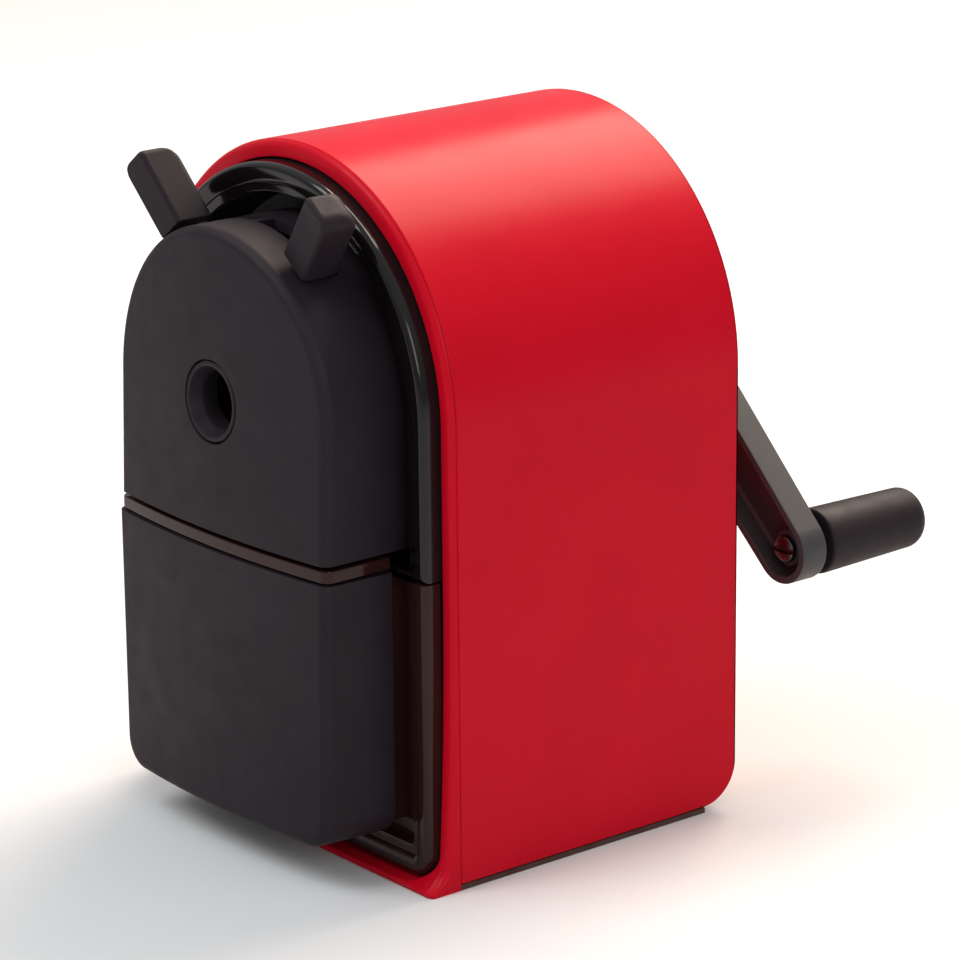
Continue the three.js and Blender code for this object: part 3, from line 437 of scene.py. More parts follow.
def gloss_black():
    """Polished at the front and dull inside the recess."""
    s = Surface("gloss_black", 0.1, Specular_IOR_Level=0.3)
    s.tones(s.noise(60), (0.3, (0.0032, 0.0020, 0.0028)), (0.7, (0.0044, 0.0030, 0.0038)))
    split = s.tree.nodes.new("ShaderNodeSeparateXYZ")
    s.tree.links.new(s.place, split.inputs["Vector"])
    into = (BEZEL_LOW[1] + 1.5) * MM, (BEZEL_LOW[1] + 4.0) * MM
    s.tree.links.new(s.remap(split.outputs["Y"], 0.12, 0.55, into), s.shader.inputs["Roughness"])
    s.bump(s.noise(2200, 2), 0.003, 0.3)
    return s.material


def moulded_black():
    s = Surface("moulded_black", 0.55, Specular_IOR_Level=0.15)
    s.tones(s.noise(70, 4), (0.3, (0.0110, 0.0074, 0.0108)), (0.7, (0.0140, 0.0096, 0.0138)))
    s.gloss(s.noise(240, 4), 0.50, 0.60)
    s.bump(s.noise(4200, 3), 0.012, 0.7)
    s.bump(s.noise(1500, 2), 0.010, 0.35)
    return s.material


def smoke_plastic():
    s = Surface("smoke_plastic", 0.08, Specular_IOR_Level=0.2)
    s.tones(s.noise(50, 4), (0.3, (0.0160, 0.0050, 0.0048)), (0.7, (0.0230, 0.0072, 0.0068)))
    s.gloss(s.noise(90, 5), 0.05, 0.13)
    s.bump(s.noise(1800, 2), 0.003, 0.3)
    return s.material


def arm_enamel():
    s = Surface("arm_enamel", 0.5, Specular_IOR_Level=0.3)
    s.tones(s.noise(80, 4), (0.3, (0.029, 0.029, 0.032)), (0.7, (0.038, 0.038, 0.042)))
    s.gloss(s.noise(300, 4), 0.4, 0.55)
    s.bump(s.noise(2600, 3), 0.012, 0.6)
    return s.material


def brushed_steel(name, dark, light, roughness, stretch=(1, 30, 1)):
    s = Surface(name, roughness, 1.0)
    s.tones(s.noise(150, 4, stretch), (0.3, dark), (0.7, light))
    s.gloss(s.noise(350, 3, stretch), roughness - 0.08, roughness + 0.1)
    s.bump(s.noise(900, 2, stretch), 0.006, 0.5)
    return s.material


def pad_rubber():
    s = Surface("pad_rubber", 0.85, Specular_IOR_Level=0.3)
    s.tones(s.noise(300, 4), (0.3, (0.050, 0.021, 0.018)), (0.7, (0.075, 0.034, 0.028)))
    s.bump(s.noise(2200, 3), 0.03, 0.6)
    return s.material


def natural_nylon():
    s = Surface("natural_nylon", 0.45, Subsurface_Weight=0.2)
    s.tones(s.noise(120, 3), (0.3, (0.58, 0.55, 0.47)), (0.7, (0.66, 0.63, 0.55)))
    s.gloss(s.noise(200, 3), 0.4, 0.55)
    s.bump(s.noise(1500, 2), 0.01, 0.4)
    return s.material


RED = red_enamel()
GLOSS = gloss_black()
MOULDED = moulded_black()
SMOKE = smoke_plastic()
ARM = arm_enamel()
STEEL = brushed_steel("bright_steel", (0.55, 0.55, 0.54), (0.70, 0.70, 0.68), 0.28)
DARK_STEEL = brushed_steel("dark_steel", (0.14, 0.14, 0.145), (0.24, 0.24, 0.245), 0.36)
BLACK_STEEL = brushed_steel("black_steel", (0.05, 0.05, 0.05), (0.09, 0.09, 0.09), 0.3)
BRONZE = brushed_steel("sintered_bronze", (0.40, 0.26, 0.11), (0.52, 0.36, 0.17), 0.4)
PAD = pad_rubber()
NYLON = natural_nylon()
SLOT_MATERIALS = {
    "red_shell": RED,
    "gloss_black": GLOSS,
    "black_plastic": MOULDED,
    "smoke_plastic": SMOKE,
    "base_pad": PAD,
    "arm_enamel": ARM,
    "steel": STEEL,
    "dark_steel": DARK_STEEL,
    "bronze": BRONZE,
    "nylon": NYLON,
}


def paint_cad_nodes():
    """The nodes that stay as they are get the material of their slot."""
    slots = {row["node"]: row["material_slot"] for row in frame["record"]["subparts"]}
    for node, obj in frame["nodes"].items():
        obj.data.materials.clear()
        obj.data.materials.append(SLOT_MATERIALS[slots[node]])


# ---------- housing ----------
def rounded(points, radius, steps=3):
    """Closed profile with each corner turned into a short arc-like run."""
    result = []
    count = len(points)
    for i, here in enumerate(points):
        before, after = points[i - 1], points[(i + 1) % count]
        here_v = Vector(here)
        a = here_v + (Vector(before) - here_v).normalized() * radius
        b = here_v + (Vector(after) - here_v).normalized() * radius
        for k in range(steps + 1):
            t = k / steps
            p = a * (1 - t) ** 2 + here_v * 2 * t * (1 - t) + b * t ** 2
            result.append((p.x, p.y))
    return result


def heel(y, radius, bottom):
    """Lowest z of a wall whose lower rear corner is rounded about a line along X."""
    centre = REAR - HEEL_RADIUS
    if y <= centre:
        return bottom
    return bottom + radius - math.sqrt(max(radius ** 2 - (y - centre) ** 2, 0.0))


def body_shell():
    """The red arch: a wall profile carried along the arch, with its feet cut to the heel radius."""
    outer, inner = BODY_RADIUS, BODY_RADIUS - SHELL_WALL
    heel_y = [REAR - HEEL_RADIUS + HEEL_RADIUS * math.sin(math.radians(a)) for a in range(0, 90, 6)]
    ends = rounded([(outer, SEAM_Y), (outer, REAR), (inner, REAR), (inner, SEAM_Y)], 0.3, 4)
    quarter = len(ends) // 4
    run = [SEAM_Y + (REAR - HEEL_RADIUS - SEAM_Y) * i / 8 for i in range(1, 8)] + heel_y
    profile = ends[:quarter] + [(outer, y) for y in run] + ends[quarter:3 * quarter]
    profile += [(inner, y) for y in reversed(run)] + ends[3 * quarter:]
    rings = []
    for r, y in profile:
        rings.append(at_y(arch_strip(r, heel(min(y, REAR), HEEL_RADIUS, SHELL_BOTTOM)), y))
    stations = [list(ring) for ring in zip(*rings)]
    shell = loft("body_shell", stations, cap_start=True, cap_end=True)
    return place(shell, "housing", RED, ["housing_shell"])


def sweep(z):
    """How far the front of the frame stands out at a height near the table."""
    part = min(max((CHEEK_TOP - z) / (CHEEK_TOP - SWEEP_TOP), 0.0), 1.0)
    lean = CHEEK_LEAN * part * part
    share = min(max((SWEEP_TOP - z) / (SWEEP_TOP - SILL_TOP), 0.0), 1.0)
    return lean + (FRONT - SILL_Y - CHEEK_LEAN) * (1 - math.sqrt(1 - share ** 2))


def front_rim():
    """The red frame: a narrow ring round the opening that sweeps forward into the lip at its foot."""
    rear = SEAM_Y - SHELL_SPLIT
    opening = arch_loop(RIM_INNER, RIM_BOTTOM, RIM_CORNER)
    rows = []

    def row(inset, y, from_inner=0.0, swept=True):
        outer = arch_loop(BODY_RADIUS - inset, inset * 0.2)
        loop = between(outer, opening, from_inner)
        rows.append([(x, y - (sweep(z) if swept else 0.0), z) for x, z in loop])

    depth = rear - FRONT
    last = math.degrees(math.asin(1 - depth / RIM_ROUND))
    row(rounding(RIM_ROUND, last), rear, swept=False)
    for i in range(7):
        angle = last + (90 - last) * i / 6
        row(rounding(RIM_ROUND, angle), FRONT + RIM_ROUND * (1 - math.sin(math.radians(angle))))
    for share in (0.4, 0.75, 0.9):
        row(RIM_ROUND, FRONT, share)
    row(RIM_ROUND, FRONT + 0.03, 0.96)
    row(RIM_ROUND, FRONT + 0.15, 1.0)
    row(RIM_ROUND, rear, 1.0, swept=False)
    return place(loft("front_rim", rows, closed=True), "housing", RED, ["front_frame"])


def rounding(radius, angle):
    """How far a quarter round has drawn in at an angle from its start, in degrees."""
    return radius * (1 - math.cos(math.radians(angle)))


def front_collar():
    """Collar of the frame inside the shell."""
    outer = BODY_RADIUS - SHELL_WALL - GAP
    front, rear = FRONT + 0.4, FRONT + 6
    corners = [(outer, front), (outer, rear), (RIM_INNER, rear), (RIM_INNER, front)]
    profile = rounded(corners, 0.2, 2)
    rings = [at_y(arch_strip(r, COLLAR_FOOT), y) for r, y in profile]
    stations = [list(ring) for ring in zip(*rings)]
    collar = loft("front_collar", stations, cap_start=True, cap_end=True)
    return place(collar, "housing", RED)


def bead_profile(outer, inner, front, rear):
    """(inset, y) down the outside, over the glossy bead, across the margin and into the recess."""
    crown, drop, width = outer + 1.1, 1.2, 2.2
    points = [(outer, rear), (outer, front + drop)]
    for a in range(15, 91, 15):
        t = math.radians(a)
        points.append((crown - 1.1 * math.cos(t), front + drop * (1 - math.sin(t))))
    for a in range(9, 64, 9):
        t = math.radians(a)
        points.append((crown + width * math.sin(t) / 0.9, front + (1 - math.cos(t)) * 0.95))
    margin = front + MARGIN_DROP + 0.12
    points += [(crown + width + 0.12, margin - 0.05), (crown + width + 0.4, margin)]
    return points + [(inner - 0.35, margin), (inner - 0.1, margin + 0.1), (inner, margin + 0.4)]


def bezel_ring():
    """Glossy bezel: bead, margin and the deep wall round the carriage."""
    front, rear, bottom = BEZEL_LOW[1], BEZEL_HIGH[1], BEZEL_LOW[2]
    depth = rear - BEZEL_BACK
    rows = []
    inner = BEZEL_HIGH[0] - MOUTH_RADIUS
    for inset, y in bead_profile(0.0, inner, front, rear):
        radius = BEZEL_HIGH[0] - inset
        rows.append(at_y(arch_loop(radius, bottom + min(inset, 1.4) * 0.9), y))
    rows.append(at_y(arch_loop(MOUTH_RADIUS, bottom + 1.4), front + 2.2))
    rows.append(at_y(arch_loop(MOUTH_RADIUS - 0.6, bottom + 1.4), depth - 0.8))
    rows.append(at_y(arch_loop(MOUTH_RADIUS - 0.9, bottom + 1.7), depth - 0.2))
    rows.append(at_y(arch_loop(MOUTH_RADIUS - 1.6, bottom + 2.3), depth))
    hole = circle_toward(arch_loop(MOUTH_RADIUS, bottom + 1.4), SHAFT_HOLE)
    for share in (0.3, 0.6, 1.0):
        loop = between(arch_loop(MOUTH_RADIUS - 1.6, bottom + 2.3), hole, share)
        rows.append(at_y(loop, depth))
    rows.append(at_y(hole, rear))
    ring = loft("bezel_ring", rows, closed=True)
    for side in (-1, 1):
        through = [(0, -40), (ROD_HOLE, -40), (ROD_HOLE, 0), (0, 0)]
        combine(ring, turned("rod_hole", through, side * ROD_X, ROD_Z, 32))
    return place(ring, "housing", GLOSS, ["front_bezel"])


def back_panel():
    """Red rear cover with a rounded rim, a sunk field and the bearing boss, in one skin."""
    outer = REAR_HIGH[0]
    face = REAR - REAR_EDGE
    boss_rear = REAR_HIGH[1]
    foot = REAR_LOW[2] + REAR_FOOT
    rim = arch_loop(outer, foot, 0.4)
    inner_y = face - 1.8
    rows = []

    def drop(points, radius):
        shifted = []
        low = SHELL_BOTTOM + HEEL_RADIUS
        for x, y, z in points:
            fall = max(low - z, 0.0)
            shifted.append((x, y - (radius - math.sqrt(max(radius ** 2 - fall ** 2, 0.0))), z))
        return shifted

    def field(inset, y):
        rows.append(drop(at_y(arch_loop(outer - inset, foot, 0.4), y), REAR_HEEL))

    field(0.0, face - 1.0)
    field(0.15, face - 0.3)
    field(0.5, face)
    field(4.6, face)
    field(5.0, face - 0.25)
    field(5.6, face - 0.5)
    wide = arch_loop(outer - 5.6, foot, 0.4)
    for share in (0.012, 0.025, 0.04, 0.06, 0.08, 0.105, 0.13, 0.35, 0.7):
        loop = between(wide, circle_toward(wide, BOSS_FOOT), share)
        rows.append(drop(at_y(loop, face - 0.5), REAR_HEEL))
    for radius, y in (
        (BOSS_FOOT, face - 0.5), (13.2, face - 0.35), (12.3, face + 0.3), (11.8, face + 1.2),
        (10.4, boss_rear - 1.6), (10.1, boss_rear - 0.7), (9.5, boss_rear - 0.15), (8.8, boss_rear),
        (5.9, boss_rear), (5.5, boss_rear - 0.3), (5.3, boss_rear - 0.8), (5.3, inner_y), (8.0, inner_y),
    ):
        rows.append(at_y(circle_toward(rim, radius), y))
    for share in (0.5, 0.9, 0.93, 0.96, 0.98, 1.0):
        loop = between(circle_toward(rim, 8.0), rim, share)
        rows.append(drop(at_y(loop, inner_y), REAR_HEEL_INSIDE))
    panel = loft("back_panel", rows, closed=True)
    place(panel, "housing", RED, ["rear_cover"])
    for i in (1, 2, 3):
        cover_screw(i)
    return panel


def cover_screw(index):
    """Pan-head screw with a cross recess."""
    low, high = box_mm(f"rear_cover_screw_{index}")
    x, z = (low[0] + high[0]) / 2, (low[2] + high[2]) / 2
    head = (high[0] - low[0]) / 2
    top = high[1]
    profile = [(0, low[1] + 1), (1.4, low[1] + 1), (1.5, low[1] + 1.6)]
    profile += [(1.5, top - 1.3), (head, top - 1.3)]
    for a in range(10, 90, 10):
        t = math.radians(a)
        profile.append((head * math.cos(t), top - 1.1 + 1.1 * math.sin(t)))
    screw = turned(f"cover_screw_{index}", profile + [(0, top)], x, z, 48)
    long, wide = head * 0.6, 0.36
    for half_x, half_z in ((long, wide), (wide, long)):
        tool = block("cross", (x - half_x, top - 0.9, z - half_z), (x + half_x, top + 1, z + half_z))
        combine(screw, tool)
    place(screw, "housing", DARK_STEEL, [f"rear_cover_screw_{index}"])


# ---------- carriage ----------
def carriage_case():
    """Matte arch with a crowned front, a seat for the pencil ring and two slots for the lever plates."""
    radius, bottom = CARRIAGE_HIGH[0], CARRIAGE_LOW[2]
    front, rear = CARRIAGE_LOW[1] + CARRIAGE_LEAN * (AXIS_Z - bottom), CARRIAGE_HIGH[1]
    edge = arch_loop(radius - CARRIAGE_ROUND, bottom)
    seat = RECESS_RADIUS - 1.05
    inner_bottom = bottom + CARRIAGE_WALL
    inner = arch_loop(radius - CARRIAGE_WALL, inner_bottom)
    inner_front = front + 4.0

    def lean(loop, y):
        return crowned(at_y(loop, y), CARRIAGE_LEAN, AXIS_Z)

    rows = [
        at_y(circle_toward(edge, seat), inner_front),
        at_y(circle_toward(edge, seat), front + 1.2),
        at_y(circle_toward(edge, RECESS_RADIUS), front + 1.2),
        lean(circle_toward(edge, RECESS_RADIUS), front + 0.2),
        lean(circle_toward(edge, RECESS_RADIUS + 0.06), front + 0.06),
        lean(circle_toward(edge, RECESS_RADIUS + 0.2), front),
    ]
    start = circle_toward(edge, RECESS_RADIUS + 0.2)
    for i in range(1, 9):
        rows.append(lean(between(start, edge, i / 8), front))
    for a in range(10, 91, 10):
        t = math.radians(a)
        loop = arch_loop(radius - CARRIAGE_ROUND * (1 - math.sin(t)), bottom)
        rows.append(lean(loop, front + CARRIAGE_ROUND * (1 - math.cos(t))))
    rows += [
        at_y(arch_loop(radius, bottom), rear - 0.3),
        at_y(arch_loop(radius - 0.3, bottom + 0.3), rear),
        at_y(arch_loop(radius - CARRIAGE_WALL, inner_bottom), rear),
        at_y(inner, inner_front),
    ]
    case = loft("carriage_case", rows, closed=True)
    for side in (-1, 1):
        near, far = sorted((side * SLOT_X[0], side * SLOT_X[1]))
        combine(case, block("slot", (near, SLOT_Y[0], AXIS_Z + 14), (far, SLOT_Y[1], AXIS_Z + 40)))
    return place(case, "carriage", MOULDED, ["carriage_shell"])


def ring_insert():
    """Escutcheon of the pencil hole: a rounded lip and a long cone down to the hole."""
    outer = RING_HIGH[0]
    front, rear = RING_LOW[1], RING_HIGH[1]
    hole = PENCIL_HOLE
    seat = RECESS_RADIUS - 1.35
    profile = [(outer, front + 0.8), (outer, front + 0.35)]
    for a in range(20, 91, 14):
        t = math.radians(a)
        profile.append((outer - 0.35 * (1 - math.cos(t)), front + 0.35 * (1 - math.sin(t))))
    profile += [(outer - 0.55, front), (outer - 0.8, front + 0.12), (hole + 0.25, front + 1.7)]
    profile += [(hole + 0.06, front + 2.0), (hole, front + 2.4), (hole, rear)]
    profile += [(seat, rear), (seat, front + 0.8)]
    ring = turned("ring_insert", profile, steps=96, closed=True)
    for vertex in ring.data.vertices:
        if vertex.co.y < (front + 2.5) * MM:
            vertex.co.y += CARRIAGE_LEAN * (vertex.co.z - AXIS_Z * MM)
    return place(ring, "carriage", MOULDED, ["pencil_ring"])


# ---------- levers ----------
def lever_point(along, across, side):
    lean = math.radians(LEVER_ANGLE)
    x = along * math.sin(lean) - across * math.cos(lean)
    return side * x, AXIS_Z + along * math.cos(lean) + across * math.sin(lean)


def lever_section(along, near_in, far_in, front_in, rear_in, side):
    """Rounded rectangle across a lever cap at a distance along it, drawn in on each of its sides."""
    near = LEVER_OFFSET - LEVER_WIDTH / 2 + near_in
    far = LEVER_OFFSET + LEVER_WIDTH / 2 - far_in
    forward = LEVER_LEAN * (along - LEVER_START)
    front = CAP_LOW[1] + LEVER_LEAN * (LEVER_END - LEVER_START) + front_in - forward
    rear = CAP_HIGH[1] - rear_in - forward
    small = min(0.7, (far - near) / 2.05, (rear - front) / 2.05)
    large = min(1.3, (far - near) / 2.05, (rear - front) / 2.05)
    outline = arc(far - large, rear - large, large, 0, 90, 6)
    outline += arc(near + large, rear - large, large, 90, 180, 6)
    outline += arc(near + small, front + small, small, 180, 270, 6)
    outline += arc(far - small, front + small, small, 270, 360, 6)
    points = []
    for across, y in outline:
        x, z = lever_point(along, across, side)
        points.append((x, y, z))
    return points


def drawn_in(radius, left):
    """How far a rounded end has drawn in where this much of the length is left."""
    return radius - math.sqrt(max(radius ** 2 - max(radius - left, 0.0) ** 2, 0.0))


def lever_handle(name, side):
    """Moulded cap: square-cut foot, rounded edges and an end that falls away towards the back."""
    rear_round = 2.9
    rows = [
        lever_section(LEVER_START, 0.35, 0.35, 0.35, 0.35, side),
        lever_section(LEVER_START + 0.12, 0.1, 0.1, 0.1, 0.1, side),
        lever_section(LEVER_START + 0.4, 0.0, 0.0, 0.0, 0.0, side),
    ]
    for i in range(15):
        left = rear_round * (1 - math.sin(math.radians(90 * i / 14)))
        outside, inside = drawn_in(2.3, left), drawn_in(1.0, left)
        front, rear = drawn_in(0.8, left), drawn_in(rear_round, left)
        rows.append(lever_section(LEVER_END - left, outside, inside, front, rear * 0.92, side))
    return loft(name, rows, cap_start=True, cap_end=True)


def add_levers():
    for name, side in (("left", -1), ("right", 1)):
        cap = lever_handle(f"lever_handle_{name}", side)
        place(cap, f"lever_{name}", MOULDED, [f"lever_cap_{name}"])


# ---------- drawer ----------
def drawer_face():
    """Smoke plate with the same bead and margin as the bezel, and a channel round the cover."""
    half, bottom, top = TRAY_HIGH[0], TRAY_LOW[2], BEZEL_LOW[2] - 0.35
    front = BEZEL_LOW[1]
    rear = FRONT - 0.2
    corner = 4.4
    rows = []

    def row(inset, y, top_inset=0.0):
        radius = max(corner - inset, 0.9)
        rows.append(at_y(panel_loop(half - inset, bottom + inset, top - top_inset, radius), y))

    profile = bead_profile(0.0, half - MOUTH_RADIUS, front, rear)
    for inset, y in profile:
        row(inset, y)
    row(half - MOUTH_RADIUS + 0.15, front + 2.6)
    row(half - MOUTH_RADIUS + 0.6, front + 2.9)
    row(half - CHANNEL_WALL, front + 2.9)
    row(half - CHANNEL_WALL + 0.2, front - 4.0)
    row(half - CHANNEL_LIP, front - 4.0)
    row(half - CHANNEL_LIP, rear)
    plate = loft("drawer_face", rows, closed=True)
    return place(plate, "drawer", SMOKE, ["drawer_tray"])


def drawer_strip():
    """Smoke band between the cover and the carriage, on a core that runs down inside the cover."""
    top, low = TRAY_HIGH[2], COVER_HIGH[2] + 0.2
    front = TRAY_LOW[1]
    half = COVER_FRONT_HALF - 0.3
    rear = BEZEL_LOW[1] - GAP
    edge = 0.25

    def ring(inset, z, corner=1.7):
        return [(x, y, z) for x, y in plan_loop(front + inset, half - inset, rear, corner)]

    rows = [ring(2.0, COVER_LOW[2] + 4.0), ring(2.0, low - 0.2), ring(edge, low), ring(0.0, low + edge)]
    rows += [ring(0.0, top - edge), ring(edge * 0.3, top - edge * 0.3), ring(edge, top)]
    strip = loft("drawer_strip", rows, cap_start=True, cap_end=True)
    return place(strip, "drawer", SMOKE)


def drawer_bin():
    """Open tub for the shavings with rounded corners and a rolled rim."""
    half, low, top = BIN_HALF, BIN_LOW, BIN_TOP
    front, rear = FRONT - 0.4, TRAY_HIGH[1]

    def ring(inset, z, corner=4.0):
        r = max(corner - inset, 0.6)
        loop = arc(half - inset - r, rear - inset - r, r, 0, 90, 6)
        loop += arc(-half + inset + r, rear - inset - r, r, 90, 180, 6)
        loop += arc(-half + inset + r, front + inset + r, r, 180, 270, 6)
        loop += arc(half - inset - r, front + inset + r, r, 270, 360, 6)
        return [(x, y, z) for x, y in loop]

    rows = [ring(1.6, low), ring(0.6, low + 0.3), ring(0.15, low + 0.9), ring(0.0, low + 1.8)]
    rows += [ring(0.0, top - 1.4), ring(0.0, top - 0.5), ring(0.25, top - 0.1), ring(0.8, top)]
    rows += [ring(1.35, top - 0.1), ring(1.6, top - 0.5), ring(1.6, low + 3.4)]
    rows += [ring(2.1, low + 2.2), ring(3.4, low + 1.6)]
    tub = loft("drawer_bin", rows, cap_start=True, cap_end=True)
    return place(tub, "drawer", SMOKE)


def cover_panel():
    """Matte front cover of the drawer: crowned, leaning and narrower at its foot."""
    half, bottom, top = COVER_HIGH[0], COVER_LOW[2], COVER_HIGH[2]
    rear = COVER_HIGH[1]
    front = COVER_LOW[1] + COVER_LEAN * (top - bottom)
    draft = half - COVER_FRONT_HALF
    edge, corner, wall = 1.7, 5.0, 1.5

    def loop(inset, low, radius):
        return panel_loop(half - inset, bottom + low, top, max(radius, 0.4))

    def lean(points, y):
        narrowed = [(x * (1 - COVER_TAPER * (top - z)), z) for x, z in points]
        return crowned(at_y(narrowed, y), COVER_LEAN, top)

    face = loop(draft + edge, edge, corner - 1.0)
    middle = [(0.0, (bottom + top) / 2)] * len(face)
    rows = [lean(between(face, middle, share), front) for share in (0.97, 0.6, 0.3, 0.0)]
    for a in range(10, 91, 10):
        t = math.radians(a)
        inset = edge * (1 - math.sin(t))
        line = loop(draft + inset, inset, corner - inset * 0.6)
        rows.append(lean(line, front + edge * (1 - math.cos(t))))
    rows.append(at_y(loop(0.0, 0.0, corner), rear - 0.2))
    rows.append(at_y(loop(0.2, 0.2, corner), rear))
    inner = [(x, min(z, top - 0.01)) for x, z in loop(draft + wall, wall, corner - wall)]
    rows.append(at_y(inner, rear))
    rows.append(crowned(at_y(inner, front + wall + edge)))
    rows.append(crowned(at_y(between(inner, middle, 0.97), front + wall)))
    panel = loft("cover_panel", rows, cap_start=True, cap_end=True)
    return place(panel, "drawer", MOULDED, ["drawer_cover"])


# ---------- crank ----------
def arm_lever():
    """Pressed arm: a web with a rim round it that faces the body, hub and end boss inside."""
    front, rear = ARM_HIGH[1] - ARM_DEPTH, ARM_HIGH[1]
    floor = rear - ARM_WEB
    rows = []

    def row(inset, y):
        rows.append(at_y(link_loop(inset), y))

    row(ARM_RIM, floor - 0.5)
    row(ARM_RIM, front + 0.2)
    row(ARM_RIM - 0.2, front)
    row(0.3, front)
    row(0.08, front + 0.08)
    row(0.0, front + 0.3)
    row(0.0, rear - 0.8)
    row(0.1, rear - 0.35)
    row(0.35, rear - 0.1)
    row(0.8, rear)
    row(2.2, rear)
    arm = loft("arm_lever", rows, cap_end=True)
    sunk = [at_y(link_loop(ARM_RIM), floor - 0.5), at_y(link_loop(ARM_RIM + 0.5), floor)]
    arm = join_open(arm, loft("arm_floor", sunk, cap_end=True))
    inside, start = floor + 0.2, ARM_LOW[1]
    hub = [(0, start), (4.6, start), (5, start + 0.4), (5, inside), (0, inside)]
    start = front + 1.7
    boss = [(0, start), (2.9, start), (3.2, front + 2.0), (3.2, inside), (0, inside)]
    hub = turned("arm_hub", hub, steps=48)
    boss = turned("arm_boss", boss, KNOB_X, KNOB_Z, 40)
    combine(arm, hub, "UNION")
    combine(arm, boss, "UNION")
    return place(arm, "crank", ARM, ["crank_arm"])


def join_open(obj, other):
    """Merges two open skins that share a rim into one closed mesh."""
    edit = bmesh.new()
    edit.from_mesh(obj.data)
    edit.from_mesh(other.data)
    bmesh.ops.remove_doubles(edit, verts=edit.verts, dist=0.002 * MM)
    bmesh.ops.recalc_face_normals(edit, faces=edit.faces)
    edit.to_mesh(obj.data)
    edit.free()
    bpy.data.objects.remove(other)
    return obj


def knob_handle():
    """Round handle, slightly tapered, with a domed end and a bore for its axle."""
    front, rear = KNOB_LOW[1], KNOB_HIGH[1]
    radius = KNOB_HIGH[0] - KNOB_X
    end = radius - 0.4
    nose = 2.7
    bore, bore_end = 2.0, AXLE_HIGH[1] + 0.5
    profile = [(0, bore_end), (bore, bore_end), (bore, front + 0.2), (bore + 0.2, front)]
    profile += [(radius - 1.1, front), (radius - 0.35, front + 0.08)]
    profile += [(radius - 0.08, front + 0.35), (radius, front + 0.8)]
    steps = 10
    for i in range(1, steps):
        share = i / steps
        profile.append((radius - 0.4 * share, front + 0.8 + (rear - nose - front - 0.8) * share))
    profile += [(end - nose + r, y) for r, y in arc(0, rear - nose, nose, 0, 90, 10)]
    handle = turned("knob_handle", profile + [(0, rear)], KNOB_X, KNOB_Z, 72)
    return place(handle, "knob", MOULDED, ["crank_knob"])


def axle_pin():
    """Knob axle with a domed, slotted head in the channel of the arm."""
    front, rear = AXLE_LOW[1], AXLE_HIGH[1]
    head = AXLE_HIGH[0] - KNOB_X
    profile = []
    for a in range(0, 91, 10):
        t = math.radians(a)
        profile.append((head * math.sin(t), front + 0.9 * (1 - math.cos(t))))
    profile += [(head, front + 1.3), (1.8, front + 1.3), (1.8, rear), (0, rear)]
    pin = turned("axle_pin", profile, KNOB_X, KNOB_Z, 40)
    low = (KNOB_X - 4, front - 1, KNOB_Z - 0.45)
    high = (KNOB_X + 4, front + 0.75, KNOB_Z + 0.45)
    combine(pin, block("notch", low, high))
    return place(pin, "crank", BLACK_STEEL, ["knob_axle"])


def arm_nut():
    """Domed hexagon nut on the end of the crank shaft."""
    low, high = box_mm("crank_nut")
    hexagon = arc(0, AXIS_Z, high[0], 0, 360, 6)[:-1]
    nut = prism_y("arm_nut", hexagon, low[1], high[1] - 0.2)
    soften(nut, 0.35, 3)
    dome = [(0, low[1] + 1), (3.4, low[1] + 1), (3.4, high[1] - 0.5)]
    dome += [(2.9, high[1] - 0.05), (0, high[1])]
    combine(nut, turned("dome", dome, steps=48), "UNION")
    return place(nut, "crank", DARK_STEEL, ["crank_nut"])


# ---------- springs ----------
def coil(name, start, axis, length, radius, wire, turns, around=16, sides=8):
    """Evenly wound spring of round wire along an axis."""
    frame_x = axis.orthogonal().normalized()
    frame_y = axis.cross(frame_x)
    steps = int(turns * around)
    rings = []
    for i in range(steps + 1):
        share = i / steps
        lap = share * turns
        angle = 2 * math.pi * lap
        outward = frame_x * math.cos(angle) + frame_y * math.sin(angle)
        centre = start + axis * (length * share) + outward * radius
        ring = []
        for k in range(sides):
            a = 2 * math.pi * k / sides
            p = centre + (outward * math.cos(a) + axis * math.sin(a)) * wire
            ring.append(tuple(p))
        rings.append(ring)
    return loft(name, rings, cap_start=True, cap_end=True)


def add_springs():
    for side in ("left", "right"):
        node = f"feed_spring_{side}"
        low, high = box_mm(node)
        start = Vector(((low[0] + high[0]) / 2, low[1] + 0.4, (low[2] + high[2]) / 2))
        length = high[1] - low[1] - 0.8
        spring = coil(f"feed_coil_{side}", start, Vector((0, 1, 0)), length, 2.5, 0.35, 9)
        place(spring, None, STEEL, [node], angle=80)
        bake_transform(spring)


# ---------- stage ----------
def build_floor():
    half = 4.0
    mesh = bpy.data.meshes.new("floor")
    corners = [(-half, -half, 0), (half, -half, 0), (half, half, 0), (-half, half, 0)]
    mesh.from_pydata(corners, [], [(0, 1, 2, 3)])
    floor = bpy.data.objects.new("floor", mesh)
    bpy.context.scene.collection.objects.link(floor)
    s = Surface("floor_paper", 0.7, Specular_IOR_Level=0.2)
    s.tones(s.noise(3), (0.3, (0.60, 0.61, 0.62)), (0.7, (0.62, 0.63, 0.64)))
    floor.data.materials.append(s.material)


def area_light(name, place_at, aim, size, watts, color=(1, 1, 1)):
    light = bpy.data.lights.new(name, "AREA")
    light.shape = "RECTANGLE"
    light.size, light.size_y = size
    light.energy = watts
    light.color = color
    obj = bpy.data.objects.new(name, light)
    obj.location = place_at
    obj.rotation_euler = (Vector(aim) - Vector(place_at)).to_track_quat("-Z", "Y").to_euler()
    bpy.context.scene.collection.objects.link(obj)


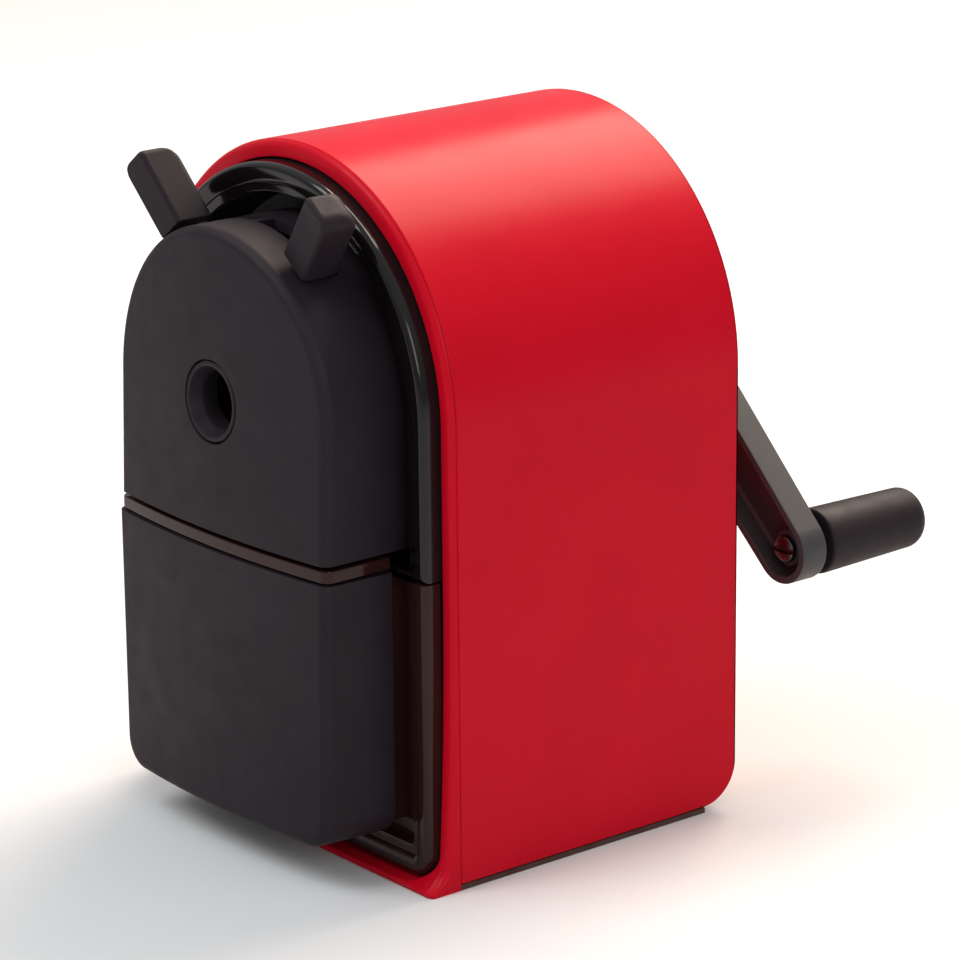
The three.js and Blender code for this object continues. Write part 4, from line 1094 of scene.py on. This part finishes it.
def build_world():
    world = bpy.data.worlds.new("studio")
    bpy.context.scene.world = world
    world.use_nodes = True
    nodes, links = world.node_tree.nodes, world.node_tree.links
    coord = nodes.new("ShaderNodeTexCoord")
    split = nodes.new("ShaderNodeSeparateXYZ")
    ramp = nodes.new("ShaderNodeValToRGB")
    ramp.color_ramp.elements[0].position = 0.0
    ramp.color_ramp.elements[0].color = (0.48, 0.48, 0.49, 1)
    ramp.color_ramp.elements[1].position = 0.6
    ramp.color_ramp.elements[1].color = (1.0, 1.0, 1.0, 1)
    links.new(coord.outputs["Generated"], split.inputs["Vector"])
    links.new(split.outputs["Z"], ramp.inputs["Fac"])
    background = nodes["Background"]
    links.new(ramp.outputs["Color"], background.inputs["Color"])
    background.inputs["Strength"].default_value = 0.75


def build_lights():
    aim = (0, 0, 0.06)
    area_light("key", (-0.25, -0.55, 0.85), aim, (0.5, 0.5), 5.0)
    area_light("overhead", (-0.15, 0.60, 0.75), aim, (0.6, 0.6), 14.0, (1.0, 0.83, 0.68))
    area_light("right", (0.9, -0.3, 0.45), aim, (0.4, 0.4), 2.0)


def build_camera():
    """Long-lens view from the front right, a little above."""
    camera = bpy.data.cameras.new("camera")
    camera.sensor_width = 36.0
    camera.lens = CAMERA_LENS
    obj = bpy.data.objects.new("camera", camera)
    azimuth, elevation = math.radians(CAMERA_AZIMUTH), math.radians(CAMERA_ELEVATION)
    level = math.cos(elevation)
    away = Vector((math.sin(azimuth) * level, -math.cos(azimuth) * level, math.sin(elevation)))
    eye = Vector(CAMERA_TARGET) + away * CAMERA_DISTANCE
    turn = away.to_track_quat("Z", "Y").to_matrix().to_4x4()
    roll = Matrix.Rotation(math.radians(CAMERA_ROLL), 4, "Z")
    obj.matrix_world = Matrix.Translation(eye) @ turn @ roll
    bpy.context.scene.collection.objects.link(obj)
    bpy.context.scene.camera = obj


paint_cad_nodes()
build_camera()
build_floor()
build_world()
build_lights()
bpy.context.scene.view_settings.view_transform = "Standard"

body_shell()
front_rim()
front_collar()
bezel_ring()
back_panel()
carriage_case()
ring_insert()
add_levers()
drawer_face()
drawer_strip()
drawer_bin()
cover_panel()
arm_lever()
knob_handle()
axle_pin()
arm_nut()
add_springs()
